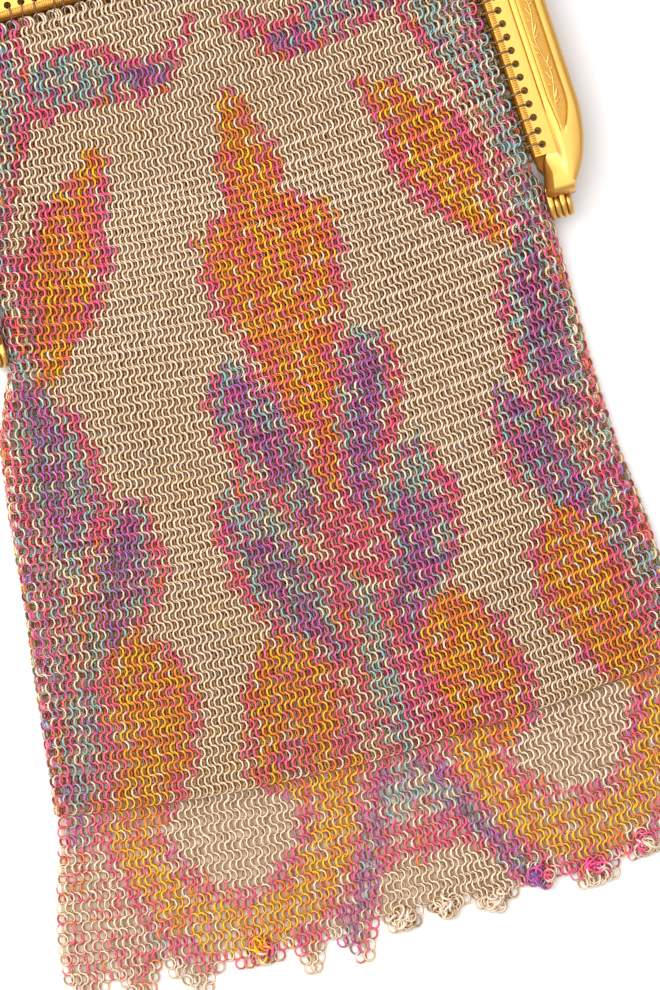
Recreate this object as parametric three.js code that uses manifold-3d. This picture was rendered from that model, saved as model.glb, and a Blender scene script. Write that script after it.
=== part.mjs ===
// A framed purse of fine ring mesh, lying on its back: a hinged metal frame in two halves, a flat bag of
// mesh that hangs from it, and below the bag a skirt of a single layer that ends in points.
// Millimetres. X runs across the purse, Y towards the frame's top bar and Z up from the table.
// A depth is a distance down the purse from the top edge of the frame.

import * as THREE from 'three';
import { mergeGeometries, mergeVertices } from 'three/addons/utils/BufferGeometryUtils.js';
import Module from 'manifold-3d';

const wasm = await Module();
wasm.setup();

// Clearances between pieces that touch on the real purse
const pieceGap = 0.3;
const pinGap = 0.3;

// Frame outline, seen from the front
const mouthWidth = 93.9;
const mouthFlare = 0.059;
const mouthCorner = 3;
const barHeight = 11.6;
const armWidth = 10.6;
const outerCorner = 11;
const armLength = 66.4;
const footLength = 6.5;
const taperLength = 14.5;
const footInset = 0.5;
const footShoulder = 1.2;
const cornerSteps = 5;

// Frame, through its thickness
const frameThickness = 10;
const rimWall = 1;
const plateWall = 1;
const stripDrop = 0.8;
const stripWall = 0.9;
const edgeBevel = 0.5;
const footWall = 1;

// Row of holes along the mouth, to which the mesh is laced
const holeRadius = 0.675;
const holePitch = 2.5;
const holeInset = 2.05;
const grooveInset = 4.2;
const barHoles = 38;
const armHoles = 19;
const lastHoleInset = 1.9;
const holeSides = 8;

// Raised panel on each arm, a long leaf shape with a vine of small leaves inside
const panelInset = 7.1;
const panelHalfWidth = 1.45;
const panelTopInset = 3.4;
const panelEndInset = 3;
const panelTip = 6;
const panelBorder = 0.35;
const reliefHeight = 0.2;
const vineLeaves = 11;
const vineLeafLength = 2;
const vineLeafWidth = 0.8;
const vineSwing = 0.4;

// Hinge at each arm's foot: curled leaves, by turns from each half, on one pin
const barrelRadius = 2.35;
const barrelLength = 4.05;
const leafCount = 4;
const pinRadius = 0.8;
const roundSides = 14;

// Clasp on the middle of the top bar, one plain turned piece
const claspHeight = 6.5;
const claspRadius = 2.6;
const claspFoot = 2.2;
const claspNeck = 1.2;

// Mesh bag
const meshWall = 1.2;
const mouthGap = 0.5;
const armGap = 2.1;
const seamDepth = 151.6;
const seamSag = 4.8;
const bagHalfWidth = 62.9;
const restHeight = 3.2;
const laceDrop = 0.4;
const drapeLength = 34;
const sideDrape = 20;
const sideRelease = 36;
const foldInset = 0.9;
const acrossSteps = 14;

// Skirt below the seam
const skirtLength = 28.6;
const skirtHalfWidth = 70;
const pointHeight = 7.5;
const curlWidth = 5.8;
const curlLength = 3.6;
const curlHeight = 1.6;

const stripEnd = armLength - footLength;
const taperStart = armLength - taperLength;
const lastHoleDepth = stripEnd - lastHoleInset;
const panelTop = barHeight + panelTopInset;
const panelEnd = stripEnd - panelEndInset;
const mouthHalf = (depth) => mouthWidth / 2 + (depth - barHeight) * mouthFlare;
const hingeInner = mouthHalf(stripEnd) + footInset;
const hingeOuter = hingeInner + barrelLength;
const hingeDepth = armLength + pieceGap + barrelRadius;
const barrelEnd = hingeDepth + barrelRadius + pieceGap;
const half = frameThickness / 2;
const bandTop = half;
const bandUnder = bandTop - plateWall;
const stripTop = bandTop - stripDrop;
const stripUnder = stripTop - stripWall;
const partingLow = pieceGap / 2;
const far = 2 * frameThickness;

// How wide the bag lies: a row for each height below the hinges, as shares of the way from the hinges to
// the seam and of the bag's half width. It lies further out on the left than on the right.
const bagRows = [
  { fall: 0.15, left: 0.878, right: 0.793 },
  { fall: 0.33, left: 0.909, right: 0.797 },
  { fall: 0.51, left: 0.928, right: 0.807 },
  { fall: 0.69, left: 0.957, right: 0.835 },
  { fall: 0.87, left: 0.982, right: 0.851 },
  { fall: 1, left: 1, right: 0.864 },
];

// Heights between the mouth and the arms' feet where the bag has a section, as shares of that way
const mouthFalls = [0, 0.08, 0.17, 0.28, 0.42, 0.6, 0.8, 1];

// How wide the skirt lies, as shares of its length and of its half width
const skirtRows = [
  { fall: 0, left: 0.906, right: 0.78 },
  { fall: 0.13, left: 0.918, right: 0.791 },
  { fall: 0.75, left: 0.987, right: 0.85 },
  { fall: 1, left: 1, right: 0.879 },
];

// The skirt's points from left to right: place as a share of the half width on that side of the middle,
// length as a share of the point height, and whether the tip has curled up on itself
const skirtPoints = [
  { across: -0.947, drop: 1, curled: false },
  { across: -0.795, drop: 0.95, curled: false },
  { across: -0.634, drop: 1, curled: false },
  { across: -0.45, drop: 0.33, curled: true },
  { across: -0.319, drop: 1, curled: false },
  { across: -0.178, drop: 0.98, curled: false },
  { across: -0.058, drop: 0.33, curled: true },
  { across: 0.069, drop: 0.29, curled: true },
  { across: 0.204, drop: 0.48, curled: true },
  { across: 0.338, drop: 0.27, curled: true },
  { across: 0.49, drop: 0.57, curled: true },
  { across: 0.634, drop: 0.3, curled: true },
  { across: 0.77, drop: 0.5, curled: true },
  { across: 0.91, drop: 0.9, curled: false },
];

// Solids and shapes

function solid(geometry) {
  const bare = geometry.clone();
  bare.deleteAttribute('normal');
  bare.deleteAttribute('uv');
  const merged = mergeVertices(bare, 1e-4);
  return new wasm.Manifold(new wasm.Mesh({
    numProp: 3,
    vertProperties: new Float32Array(merged.attributes.position.array),
    triVerts: new Uint32Array(merged.index.array),
  }));
}

function geometryOf(manifold) {
  const mesh = manifold.getMesh();
  const geometry = new THREE.BufferGeometry();
  geometry.setAttribute('position', new THREE.BufferAttribute(mesh.vertProperties, mesh.numProp));
  geometry.setIndex(new THREE.BufferAttribute(mesh.triVerts, 1));
  geometry.computeVertexNormals();
  return geometry;
}

function slab(shape, low, high, bevel = 0) {
  const geometry = new THREE.ExtrudeGeometry(shape, {
    depth: high - low - 2 * bevel,
    bevelEnabled: bevel > 0,
    bevelSize: bevel,
    bevelThickness: bevel,
    bevelOffset: -bevel,
    bevelSegments: 1,
  });
  geometry.translate(0, 0, low + bevel);
  return solid(geometry);
}

function block(x0, x1, depth0, depth1, z0, z1) {
  const geometry = new THREE.BoxGeometry(x1 - x0, depth1 - depth0, z1 - z0);
  geometry.translate((x0 + x1) / 2, -(depth0 + depth1) / 2, (z0 + z1) / 2);
  return solid(geometry);
}

const mirrored = (points) => points.map((p) => new THREE.Vector2(-p.x, p.y));

function symmetricShape(right) {
  return new THREE.Shape([...right, ...mirrored(right.slice(1, -1)).reverse()]);
}

// A closed body through cross-sections that all have the same number of points
function loft(sections) {
  const count = sections[0].length;
  const positions = sections.flat().flatMap((p) => [p.x, p.y, p.z]);
  const index = [];
  for (let row = 0; row + 1 < sections.length; row += 1) {
    for (let i = 0; i < count; i += 1) {
      const a = row * count + i;
      const b = row * count + ((i + 1) % count);
      index.push(a, b, b + count, a, b + count, a + count);
    }
  }
  for (const [row, turn] of [[0, true], [sections.length - 1, false]]) {
    const flat = sections[row].map((p) => new THREE.Vector2(p.x, p.z));
    for (const [a, b, c] of THREE.ShapeUtils.triangulateShape(flat, [])) {
      const [i, j, k] = [a + row * count, b + row * count, c + row * count];
      index.push(...(turn ? [i, k, j] : [i, j, k]));
    }
  }
  const geometry = new THREE.BufferGeometry();
  geometry.setAttribute('position', new THREE.BufferAttribute(new Float32Array(positions), 3));
  geometry.setIndex(index);
  return solid(geometry);
}

// Frame

// Right half of a line along the mouth's edge, a distance outside it, down to a depth on the arm
function mouthLine(outward, endDepth) {
  const top = barHeight - outward;
  const radius = mouthCorner + outward;
  const side = (depth) => mouthHalf(depth) + outward;
  const line = new THREE.Path();
  line.moveTo(0, -top);
  line.lineTo(side(top) - radius, -top);
  line.quadraticCurveTo(side(top), -top, side(top + radius), -top - radius);
  line.lineTo(side(endDepth), -endDepth);
  return line.getPoints(cornerSteps);
}

// Right half of the frame's outer edge, or of a line inside it
function outerLine(inset) {
  const radius = outerCorner - inset;
  const side = (depth) => mouthHalf(depth) + armWidth - inset;
  const shoulder = hingeOuter + footShoulder - inset;
  const line = new THREE.Path();
  line.moveTo(0, -inset);
  line.lineTo(side(inset) - radius, -inset);
  line.quadraticCurveTo(side(inset), -inset, side(inset + radius), -inset - radius);
  line.lineTo(side(taperStart), -taperStart);
  line.quadraticCurveTo(
    side(taperStart),
    -(taperStart + 0.62 * taperLength),
    shoulder,
    -(armLength - inset),
  );
  return line.getPoints(cornerSteps);
}

// The foot's inner edge, from the end of the hole strip down to the hinge
function footLine() {
  const strip = mouthHalf(stripEnd);
  const neck = footLength / 3;
  return [
    new THREE.Vector2(strip + 4 * footInset, -stripEnd),
    new THREE.Vector2(strip + 2 * footInset, -(stripEnd + neck)),
    new THREE.Vector2(hingeInner, -armLength),
  ];
}

function holePlaces(withArms) {
  const places = [];
  for (let i = 0; i < barHoles; i += 1) {
    places.push([(i - (barHoles - 1) / 2) * holePitch, barHeight - holeInset]);
  }
  for (let i = 0; withArms && i < armHoles; i += 1) {
    const depth = lastHoleDepth - i * holePitch;
    const x = mouthHalf(depth) + holeInset;
    places.push([x, depth], [-x, depth]);
  }
  return places;
}

function holes(withArms) {
  const drills = holePlaces(withArms).map(([x, depth]) => {
    const drill = new THREE.CylinderGeometry(holeRadius, holeRadius, far, holeSides);
    drill.rotateX(Math.PI / 2);
    drill.translate(x, -depth, 0);
    return drill;
  });
  return solid(mergeGeometries(drills));
}

// Outline of the panel on one arm, or of a line inside it, pointed at both ends
function panelOutline(inset) {
  const halfWidth = panelHalfWidth - inset;
  const middle = (depth) => mouthHalf(depth) + panelInset;
  const top = panelTop + 2 * inset;
  const end = panelEnd - 2 * inset;
  const line = new THREE.Path();
  line.moveTo(middle(top), -top);
  const [upper, lower] = [top + panelTip, end - panelTip];
  line.quadraticCurveTo(middle(top) + halfWidth, -(top + panelTip / 2), middle(upper) + halfWidth, -upper);
  line.lineTo(middle(lower) + halfWidth, -lower);
  line.quadraticCurveTo(middle(end) + halfWidth, -(end - panelTip / 2), middle(end) - halfWidth / 2, -end);
  line.lineTo(middle(lower) - halfWidth, -lower);
  line.lineTo(middle(upper) - halfWidth, -upper);
  line.quadraticCurveTo(middle(top) - halfWidth, -(top + panelTip / 2), middle(top), -top);
  return line.getPoints(cornerSteps).slice(0, -1);
}

// One small leaf of the vine, with its stalk at a point and turned by an angle
function vineLeaf(x, y, angle) {
  const leaf = new THREE.Path();
  leaf.moveTo(0, 0);
  leaf.quadraticCurveTo(vineLeafLength / 2, vineLeafWidth, vineLeafLength, 0);
  leaf.quadraticCurveTo(vineLeafLength / 2, -vineLeafWidth, 0, 0);
  const points = leaf.getPoints(3).slice(0, -1);
  return points.map((p) => p.rotateAround(new THREE.Vector2(), angle).add(new THREE.Vector2(x, y)));
}

function armRelief(side) {
  const raised = (points, extra = 0) => {
    const shape = new THREE.Shape(side > 0 ? points : mirrored(points));
    return slab(shape, bandTop - reliefHeight - extra, bandTop + reliefHeight + extra);
  };
  let relief = raised(panelOutline(0)).subtract(raised(panelOutline(panelBorder), reliefHeight));
  const first = panelTop + panelTip;
  const step = (panelEnd - panelTip - first) / vineLeaves;
  for (let i = 0; i < vineLeaves; i += 1) {
    const depth = first + (i + 0.5) * step;
    const turn = i % 2 === 0 ? 1 : -1;
    const x = mouthHalf(depth) + panelInset - turn * vineSwing;
    const leaf = vineLeaf(x, -depth, -Math.PI / 2 + turn * 0.5);
    relief = relief.add(raised(leaf));
  }
  return relief;
}

// One curled hinge leaf at the right foot, or its mirror at the left
function hingeLeaf(slot, side) {
  const gaps = (leafCount - 1) * pieceGap;
  const width = (barrelLength - gaps) / leafCount;
  const start = hingeInner + slot * (width + pieceGap);
  const curl = new THREE.CylinderGeometry(barrelRadius, barrelRadius, width, roundSides);
  curl.rotateZ(Math.PI / 2);
  curl.translate(side * (start + width / 2), -hingeDepth, 0);
  const [x0, x1] = side > 0 ? [start, start + width] : [-start - width, -start];
  const tongue = block(x0, x1, armLength - footWall, hingeDepth, pieceGap, barrelRadius);
  return solid(curl).add(tongue);
}

function hingeBores() {
  const bores = [1, -1].map((side) => {
    const bore = new THREE.CylinderGeometry(pinRadius + pinGap, pinRadius + pinGap, 2 * barrelLength, roundSides);
    bore.rotateZ(Math.PI / 2);
    bore.translate(side * (hingeInner + hingeOuter) / 2, -hingeDepth, 0);
    return bore;
  });
  return solid(mergeGeometries(bores));
}

// One half of the frame, with its face up and the plane where the halves meet at Z 0
function frameHalf({ relief, withArmHoles, leafSlots }) {
  const inner = [...mouthLine(0, stripEnd), ...footLine()];
  const outline = symmetricShape([...outerLine(0), ...inner.reverse()]);
  let body = slab(outline, partingLow, bandTop, edgeBevel);

  const aboveFoot = block(-far * 10, far * 10, -far, stripEnd - footWall, -far, far);
  const channel = symmetricShape([...outerLine(rimWall), ...mouthLine(grooveInset, armLength).reverse()]);
  const hollow = symmetricShape([...outerLine(rimWall), new THREE.Vector2(0, -armLength)]);
  body = body.subtract(slab(channel, -far, bandUnder).intersect(aboveFoot));
  body = body.subtract(slab(hollow, -far, stripUnder).intersect(aboveFoot));

  const strip = symmetricShape([...mouthLine(grooveInset, stripEnd), new THREE.Vector2(0, -stripEnd)]);
  body = body.subtract(slab(strip, stripTop, far));
  body = body.subtract(holes(withArmHoles));

  for (const side of [1, -1]) {
    if (relief) {
      body = body.add(armRelief(side));
    }
    for (const slot of leafSlots) {
      body = body.add(hingeLeaf(slot, side));
    }
  }
  return geometryOf(body.subtract(hingeBores()));
}

function hingePin(side) {
  const pin = new THREE.CylinderGeometry(pinRadius, pinRadius, barrelLength, roundSides);
  pin.rotateZ(Math.PI / 2);
  pin.translate(side * (hingeInner + hingeOuter) / 2, -hingeDepth, half);
  return pin;
}

function clasp() {
  const profile = [
    new THREE.Vector2(0, 0),
    new THREE.Vector2(claspFoot, 0),
    new THREE.Vector2(claspFoot, 0.12 * claspHeight),
    new THREE.Vector2(claspNeck, 0.2 * claspHeight),
  ];
  const ballMiddle = claspHeight - claspRadius;
  for (let i = 1; i < 8; i += 1) {
    const angle = Math.PI * (i / 8);
    const x = claspRadius * Math.sin(angle);
    profile.push(new THREE.Vector2(Math.max(x, claspNeck), ballMiddle - claspRadius * Math.cos(angle)));
  }
  profile.push(new THREE.Vector2(0, claspHeight));
  const turned = new THREE.LatheGeometry(profile, roundSides);
  turned.translate(0, pieceGap, half);
  return geometryOf(solid(turned));
}

// Mesh bag

const smooth = (value) => THREE.MathUtils.smoothstep(value, 0, 1);

function between(rows, column, fall) {
  const next = Math.max(1, rows.findIndex((row) => row.fall >= fall));
  const [a, b] = [rows[next - 1], rows[next]];
  return THREE.MathUtils.mapLinear(fall, a.fall, b.fall, a[column], b[column]);
}

// How far out the bag reaches on one side at a depth
function bagSide(depth, column) {
  const laced = mouthHalf(Math.min(depth, stripEnd)) - armGap;
  const hinge = hingeInner - pieceGap;
  if (depth < armLength) {
    return THREE.MathUtils.lerp(laced, hinge, smooth((depth - stripEnd) / (armLength - stripEnd)));
  }
  if (depth <= barrelEnd) {
    return hinge;
  }
  const fall = (depth - barrelEnd) / (seamDepth - barrelEnd);
  const rows = [{ fall: 0, left: hinge / bagHalfWidth, right: hinge / bagHalfWidth }, ...bagRows];
  return bagHalfWidth * between(rows, column, Math.min(fall, 1));
}

// Height of the front layer's face: held up by the frame along the bar and arms, it drops to rest
function frontHeight(x, depth) {
  const laced = half + stripTop - laceDrop;
  const drape = Math.max(0, 1 - (depth - barHeight) / drapeLength);
  const edge = x < 0 ? bagSide(depth, 'left') + x : bagSide(depth, 'right') - x;
  const release = smooth(1 - (depth - stripEnd) / sideRelease);
  const side = Math.max(0, 1 - edge / sideDrape) * release;
  return restHeight + (laced - restHeight) * Math.max(drape, side) ** 2;
}

const sag = (s, depth) => seamSag * (1 - s * s) * smooth((depth - barHeight) / drapeLength);

// One cross-section of the bag's outside, or of the space inside it
function bagSection(depth, inset, sideInset) {
  const left = -(bagSide(depth, 'left') - sideInset);
  const right = bagSide(depth, 'right') - sideInset;
  const lower = [];
  const upper = [];
  for (let i = 0; i <= acrossSteps; i += 1) {
    const s = THREE.MathUtils.mapLinear(i, 0, acrossSteps, -1, 1);
    const x = THREE.MathUtils.clamp(
      THREE.MathUtils.mapLinear(s, -1, 1, left, right),
      left + foldInset,
      right - foldInset,
    );
    const y = -(depth + sag(s, depth));
    lower.push(new THREE.Vector3(x, y, inset));
    upper.push(new THREE.Vector3(x, y, frontHeight(x, depth) - inset));
  }
  const [first, last] = [upper[0], upper[acrossSteps]];
  return [
    new THREE.Vector3(left, first.y, (first.z + inset) / 2),
    ...lower,
    new THREE.Vector3(right, last.y, (last.z + inset) / 2),
    ...upper.reverse(),
  ];
}

function meshBag() {
  const mouth = barHeight + mouthGap;
  const depths = mouthFalls.map((fall) => THREE.MathUtils.lerp(mouth, armLength, fall));
  depths.push(barrelEnd);
  depths.push(...bagRows.map((row) => THREE.MathUtils.lerp(barrelEnd, seamDepth, row.fall)));
  const outside = loft(depths.map((depth) => bagSection(depth, 0, 0)));
  const space = depths.map((depth, i) => {
    const open = depth < stripEnd;
    if (i === 0) {
      return bagSection(depth - armGap, meshWall, -armGap);
    }
    const end = i === depths.length - 1 ? meshWall : 0;
    return bagSection(depth - end, meshWall, open ? -armGap : meshWall);
  });
  return geometryOf(outside.subtract(loft(space)));
}

// Skirt

const skirtSide = (fall, column) => skirtHalfWidth * between(skirtRows, column, fall);

function skirtPlace(s, fall, below) {
  const x = THREE.MathUtils.mapLinear(s, -1, 1, -skirtSide(fall, 'left'), skirtSide(fall, 'right'));
  const start = seamDepth + pieceGap + seamSag * (1 - s * s);
  return new THREE.Vector2(x, -(start + fall * skirtLength + below));
}

function skirtOutline() {
  const points = [];
  for (let i = acrossSteps; i >= 0; i -= 1) {
    points.push(skirtPlace(THREE.MathUtils.mapLinear(i, 0, acrossSteps, -1, 1), 0, 0));
  }
  points.push(...skirtRows.slice(1, -1).map((row) => skirtPlace(-1, row.fall, 0)));
  skirtPoints.forEach((point, i) => {
    const before = i === 0 ? -1 : (skirtPoints[i - 1].across + point.across) / 2;
    points.push(skirtPlace(before, 1, 0));
    const tip = skirtPlace(point.across, 1, point.drop * pointHeight);
    const blunt = point.curled ? curlWidth / 2 : curlWidth / 12;
    points.push(new THREE.Vector2(tip.x - blunt, tip.y), new THREE.Vector2(tip.x + blunt, tip.y));
  });
  points.push(skirtPlace(1, 1, 0));
  points.push(...skirtRows.slice(1, -1).reverse().map((row) => skirtPlace(1, row.fall, 0)));
  return new THREE.Shape(points);
}

// The thick roll of mesh where a point has curled up
function curledTip(point) {
  const tip = skirtPlace(point.across, 1, point.drop * pointHeight);
  const roll = new THREE.Shape();
  roll.absellipse(tip.x, tip.y + curlLength / 2, curlWidth / 2, curlLength / 2, 0, 2 * Math.PI);
  const outline = new THREE.Shape(roll.getPoints(3).slice(0, -1));
  return slab(outline, meshWall / 2, meshWall + curlHeight, 0);
}

function meshSkirt() {
  let sheet = slab(skirtOutline(), 0, meshWall);
  for (const point of skirtPoints.filter((row) => row.curled)) {
    sheet = sheet.add(curledTip(point));
  }
  return geometryOf(sheet);
}

// Assembly

const materials = {
  gold: { color: 0xf8dc7d, metalness: 1, roughness: 0.28 },
  steel: { color: 0x9a7a3c, metalness: 1, roughness: 0.4 },
  mesh: { color: 0xe9cfc0, metalness: 0.5, roughness: 0.5 },
  skirt: { color: 0xe9b48c, metalness: 0.5, roughness: 0.5 },
};

const purse = new THREE.Group();

function part(name, geometry, finish) {
  const mesh = new THREE.Mesh(geometry, new THREE.MeshStandardMaterial(materials[finish]));
  mesh.name = name;
  purse.add(mesh);
  return mesh;
}

const front = part('frame_front', frameHalf({ relief: true, withArmHoles: true, leafSlots: [0, 2] }), 'gold');
front.position.z = half;
const back = part('frame_back', frameHalf({ relief: false, withArmHoles: false, leafSlots: [1, 3] }), 'gold');
back.rotation.y = Math.PI;
back.position.z = half;
part('hinge_pin_right', hingePin(1), 'steel');
part('hinge_pin_left', hingePin(-1), 'steel');
part('clasp', clasp(), 'gold');
part('mesh_bag', meshBag(), 'mesh');
part('mesh_skirt', meshSkirt(), 'skirt');

// The origin is the middle of the ground that the purse covers
const group = new THREE.Group();
group.add(purse);
const box = new THREE.Box3().setFromObject(purse);
const centre = box.getCenter(new THREE.Vector3());
purse.position.set(-centre.x, -centre.y, -box.min.z);

export default group;
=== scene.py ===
# %% [markdown]
# # A framed purse of painted ring mesh
# The purse lies on its back. Its solids are already built at their real size, so this script loads them
# as a fixed frame, looks at them through a camera and dresses them: thousands of small interlinked rings
# for the mesh, a finely ribbed and engraved metal frame, and the wires that lace the two together.
# Lengths below are in millimetres. A depth is a distance down the purse from the top edge of its frame.

import math

import bmesh
import bpy
import numpy as np
from mathutils import Matrix, Vector


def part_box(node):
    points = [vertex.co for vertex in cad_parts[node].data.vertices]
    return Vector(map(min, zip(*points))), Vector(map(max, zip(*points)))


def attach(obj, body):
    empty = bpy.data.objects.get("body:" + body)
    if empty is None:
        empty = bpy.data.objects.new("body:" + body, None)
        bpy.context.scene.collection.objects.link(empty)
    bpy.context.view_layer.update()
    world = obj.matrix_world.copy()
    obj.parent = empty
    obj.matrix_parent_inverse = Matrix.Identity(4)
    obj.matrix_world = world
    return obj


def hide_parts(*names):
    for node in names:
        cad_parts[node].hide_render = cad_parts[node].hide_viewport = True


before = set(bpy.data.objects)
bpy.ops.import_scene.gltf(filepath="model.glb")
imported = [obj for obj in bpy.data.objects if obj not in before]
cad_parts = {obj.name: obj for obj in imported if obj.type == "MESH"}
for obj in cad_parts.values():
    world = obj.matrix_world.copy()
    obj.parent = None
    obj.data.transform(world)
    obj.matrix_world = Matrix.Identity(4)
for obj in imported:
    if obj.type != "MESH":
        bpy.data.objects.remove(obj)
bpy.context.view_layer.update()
scene = bpy.context.scene
print("solids:", sorted(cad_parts))

# %% [markdown]
# ## Places
# Every piece is placed from the solids. The middle of the front frame half gives the purse's axis, its
# top edge gives depth 0, and the hinge pins lie in the plane where the two halves meet.

# %% Axis, top edge and middle plane
MM = 0.001
front_low, front_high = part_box("frame_front")
pin_low, pin_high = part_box("hinge_pin_right")
AXIS_X = (front_low.x + front_high.x) / 2 / MM
TOP_Y = front_high.y / MM
MID_Z = (pin_low.z + pin_high.z) / 2 / MM


def place(x, depth, z):
    """Points at a distance from the axis, a depth and a height above the ground, in metres."""
    return np.stack(np.broadcast_arrays(x + AXIS_X, TOP_Y - depth, z), axis=-1) * MM


print("axis at", round(AXIS_X, 2), "top edge at", round(TOP_Y, 2), "middle plane at", MID_Z)

# %% [markdown]
# ## Camera
# The picture was taken from straight above with a long lens, so the edges of things don't lean. The purse
# is turned 15 degrees in it and runs out of it at the top and at the sides. A real lens is kept, rather
# than a flat projection, because that is what a photographer would use.

# %% Camera above the purse
PICTURE_WIDTH = 117.9
PICTURE_MIDDLE = (-0.86, 108.5)
PICTURE_TURN = math.radians(-15)
CAMERA_HEIGHT = 900.0


def add_object(name, data):
    """Puts a mesh, a lamp or a camera into the scene, at the origin."""
    made = bpy.data.objects.new(name, data)
    scene.collection.objects.link(made)
    return made


camera_data = bpy.data.cameras.new("camera")
camera_data.sensor_fit = "HORIZONTAL"
camera_data.sensor_width = 36.0
camera_data.lens = camera_data.sensor_width * (CAMERA_HEIGHT - MID_Z) / PICTURE_WIDTH
camera = add_object("camera", camera_data)
camera.location = place(*PICTURE_MIDDLE, CAMERA_HEIGHT)
camera.rotation_euler = (0, 0, PICTURE_TURN)
scene.camera = camera
print("lens", round(camera_data.lens), "mm")

# %% [markdown]
# ## Floor and light
# A plain pale floor and soft light from large lamps. One lamp stands off to the upper left, so that the
# round wires get a bright side and a shaded side. The standard view transform keeps paint colours as
# they are mixed.

# %% Floor and lamps
FLOOR_REACH = 3.0
FLOOR_TONE = 0.93
MATT = 0.9
STUDIO_GLOW = 0.85
scene.view_settings.view_transform = "Standard"


def material_of(name):
    """A new material and its shader."""
    made = bpy.data.materials.new(name)
    made.use_nodes = True
    return made, made.node_tree.nodes["Principled BSDF"]


def mesh_of(name, bm):
    """A mesh from a bmesh, which is freed."""
    mesh = bpy.data.meshes.new(name)
    bm.to_mesh(mesh)
    bm.free()
    return mesh


def lamp(name, x, depth, height, size, power):
    """A square area lamp that faces the middle of the picture."""
    data = bpy.data.lights.new(name, "AREA")
    data.size = size * MM
    data.energy = power
    light = add_object(name, data)
    light.location = place(x, depth, height)
    aim = Vector(place(*PICTURE_MIDDLE, 0)) - light.location
    light.rotation_euler = aim.to_track_quat("-Z", "Y").to_euler()


floor_grid = bmesh.new()
bmesh.ops.create_grid(floor_grid, x_segments=1, y_segments=1, size=FLOOR_REACH)
floor_mesh = mesh_of("floor", floor_grid)
floor_paint, floor_shader = material_of("floor_white")
floor_shader.inputs["Base Color"].default_value = (FLOOR_TONE, FLOOR_TONE, FLOOR_TONE, 1)
floor_shader.inputs["Roughness"].default_value = MATT
floor_mesh.materials.append(floor_paint)
add_object("floor", floor_mesh)

world = bpy.data.worlds.new("studio")
world.use_nodes = True
world.node_tree.nodes["Background"].inputs["Color"].default_value = (1, 1, 1, 1)
world.node_tree.nodes["Background"].inputs["Strength"].default_value = STUDIO_GLOW
scene.world = world
lamp("overhead", -160, -60, 700, 700, 3.6)
lamp("key", -480, -160, 520, 240, 2.8)

# %% [markdown]
# ## Shader maths
# Patterns are easier to read as sums and products than as a drawing of nodes. This small class wraps a
# socket, so an expression on it adds the Math nodes that work it out.

# %% A socket that does maths


class Value:
    """An output socket of a node tree, on which + - * and a few functions add nodes."""

    def __init__(self, tree, socket=None):
        self.tree = tree
        self.socket = socket

    def node(self, kind, settings=None, sockets=None):
        """Adds a node of a kind, with its settings and then its sockets' values or links."""
        made = self.tree.nodes.new(kind)
        for key, setting in (settings or {}).items():
            setattr(made, key, setting)
        for key, value in (sockets or {}).items():
            if isinstance(value, Value):
                self.tree.links.new(value.socket, made.inputs[key])
            else:
                made.inputs[key].default_value = value
        return made

    def maths(self, operation, *inputs):
        """A Math node on values or numbers, in their order."""
        made = self.node("ShaderNodeMath", {"operation": operation}, dict(enumerate(inputs)))
        return Value(self.tree, made.outputs[0])

    def __add__(self, other):
        return self.maths("ADD", self, other)

    def __radd__(self, other):
        return self.maths("ADD", other, self)

    def __sub__(self, other):
        return self.maths("SUBTRACT", self, other)

    def __rsub__(self, other):
        return self.maths("SUBTRACT", other, self)

    def __mul__(self, other):
        return self.maths("MULTIPLY", self, other)

    def __rmul__(self, other):
        return self.maths("MULTIPLY", other, self)

    def sine(self):
        return self.maths("SINE", self)

    def clamped(self):
        return self.maths("MINIMUM", self.maths("MAXIMUM", self, 0.0), 1.0)

    def mixed(self, low, high):
        """A colour between two, by this value."""
        ends = [end if isinstance(end, Value) else (*end, 1) for end in (low, high)]
        made = self.node("ShaderNodeMix", {"data_type": "RGBA"}, {0: self, 6: ends[0], 7: ends[1]})
        return Value(self.tree, made.outputs[2])


def start(material):
    """A Value on Object coordinates, from which a material's pattern grows."""
    tree = material.node_tree
    return Value(tree, Value(tree).node("ShaderNodeTexCoord").outputs["Object"])


def noise(places, scale, detail=2.0):
    """Soft noise between 0 and 1, with features of about 1/scale metres."""
    made = places.node("ShaderNodeTexNoise", None, {"Vector": places, "Scale": scale, "Detail": detail})
    return Value(places.tree, made.outputs["Fac"])


def attribute(places, name, output="Fac"):
    """A number or a colour that is written on the mesh itself."""
    made = places.node("ShaderNodeAttribute", {"attribute_name": name})
    return Value(places.tree, made.outputs[output])


def plug(value, shader, socket):
    """Links a value to a socket of the shader."""
    value.tree.links.new(value.socket, shader.inputs[socket])


print("a value knows", [name for name in vars(Value) if not name.startswith("_")])


# %% [markdown]
# ## Painted rings
# The mesh is brass wire, bent to rings and painted on the outside only, as a flat sheet, after it was
# linked. So a ring has paint where it faces out and bare dull brass where it faces in, and because rings
# turn a little in use, one ring can carry two colours. The colours are written on the mesh itself.

# %% Ring paint over brass
BRASS_DEEP = (0.58, 0.31, 0.05)
BRASS_BRIGHT = (0.90, 0.56, 0.14)
# Painted shade: the brass turns towards this dark colour beside strong colours, for the dark gaps there.
RING_PAINTED_SHADE = (0.10, 0.035, 0.012)


def ring_material():
    """Paint where the mesh's cover is high, brass where it is low. The alpha of the print darkens the brass,
    as painted shade.
    """
    made, shader = material_of("painted_rings")
    places = start(made)
    worn = (attribute(places, "cover") * 1.25 - noise(places, 2600.0) * 0.3).clamped()
    clean = noise(places, 900.0).mixed(BRASS_DEEP, BRASS_BRIGHT)
    brass = attribute(places, "print", "Alpha").mixed(RING_PAINTED_SHADE, clean)
    plug(worn.mixed(brass, attribute(places, "print", "Color")), shader, "Base Color")
    plug(0.34 + worn * 0.12, shader, "Roughness")
    plug(0.6 - worn * 0.5, shader, "Metallic")
    return made


RING_PAINT = ring_material()
print("ring material has", len(RING_PAINT.node_tree.nodes), "nodes")

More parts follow.
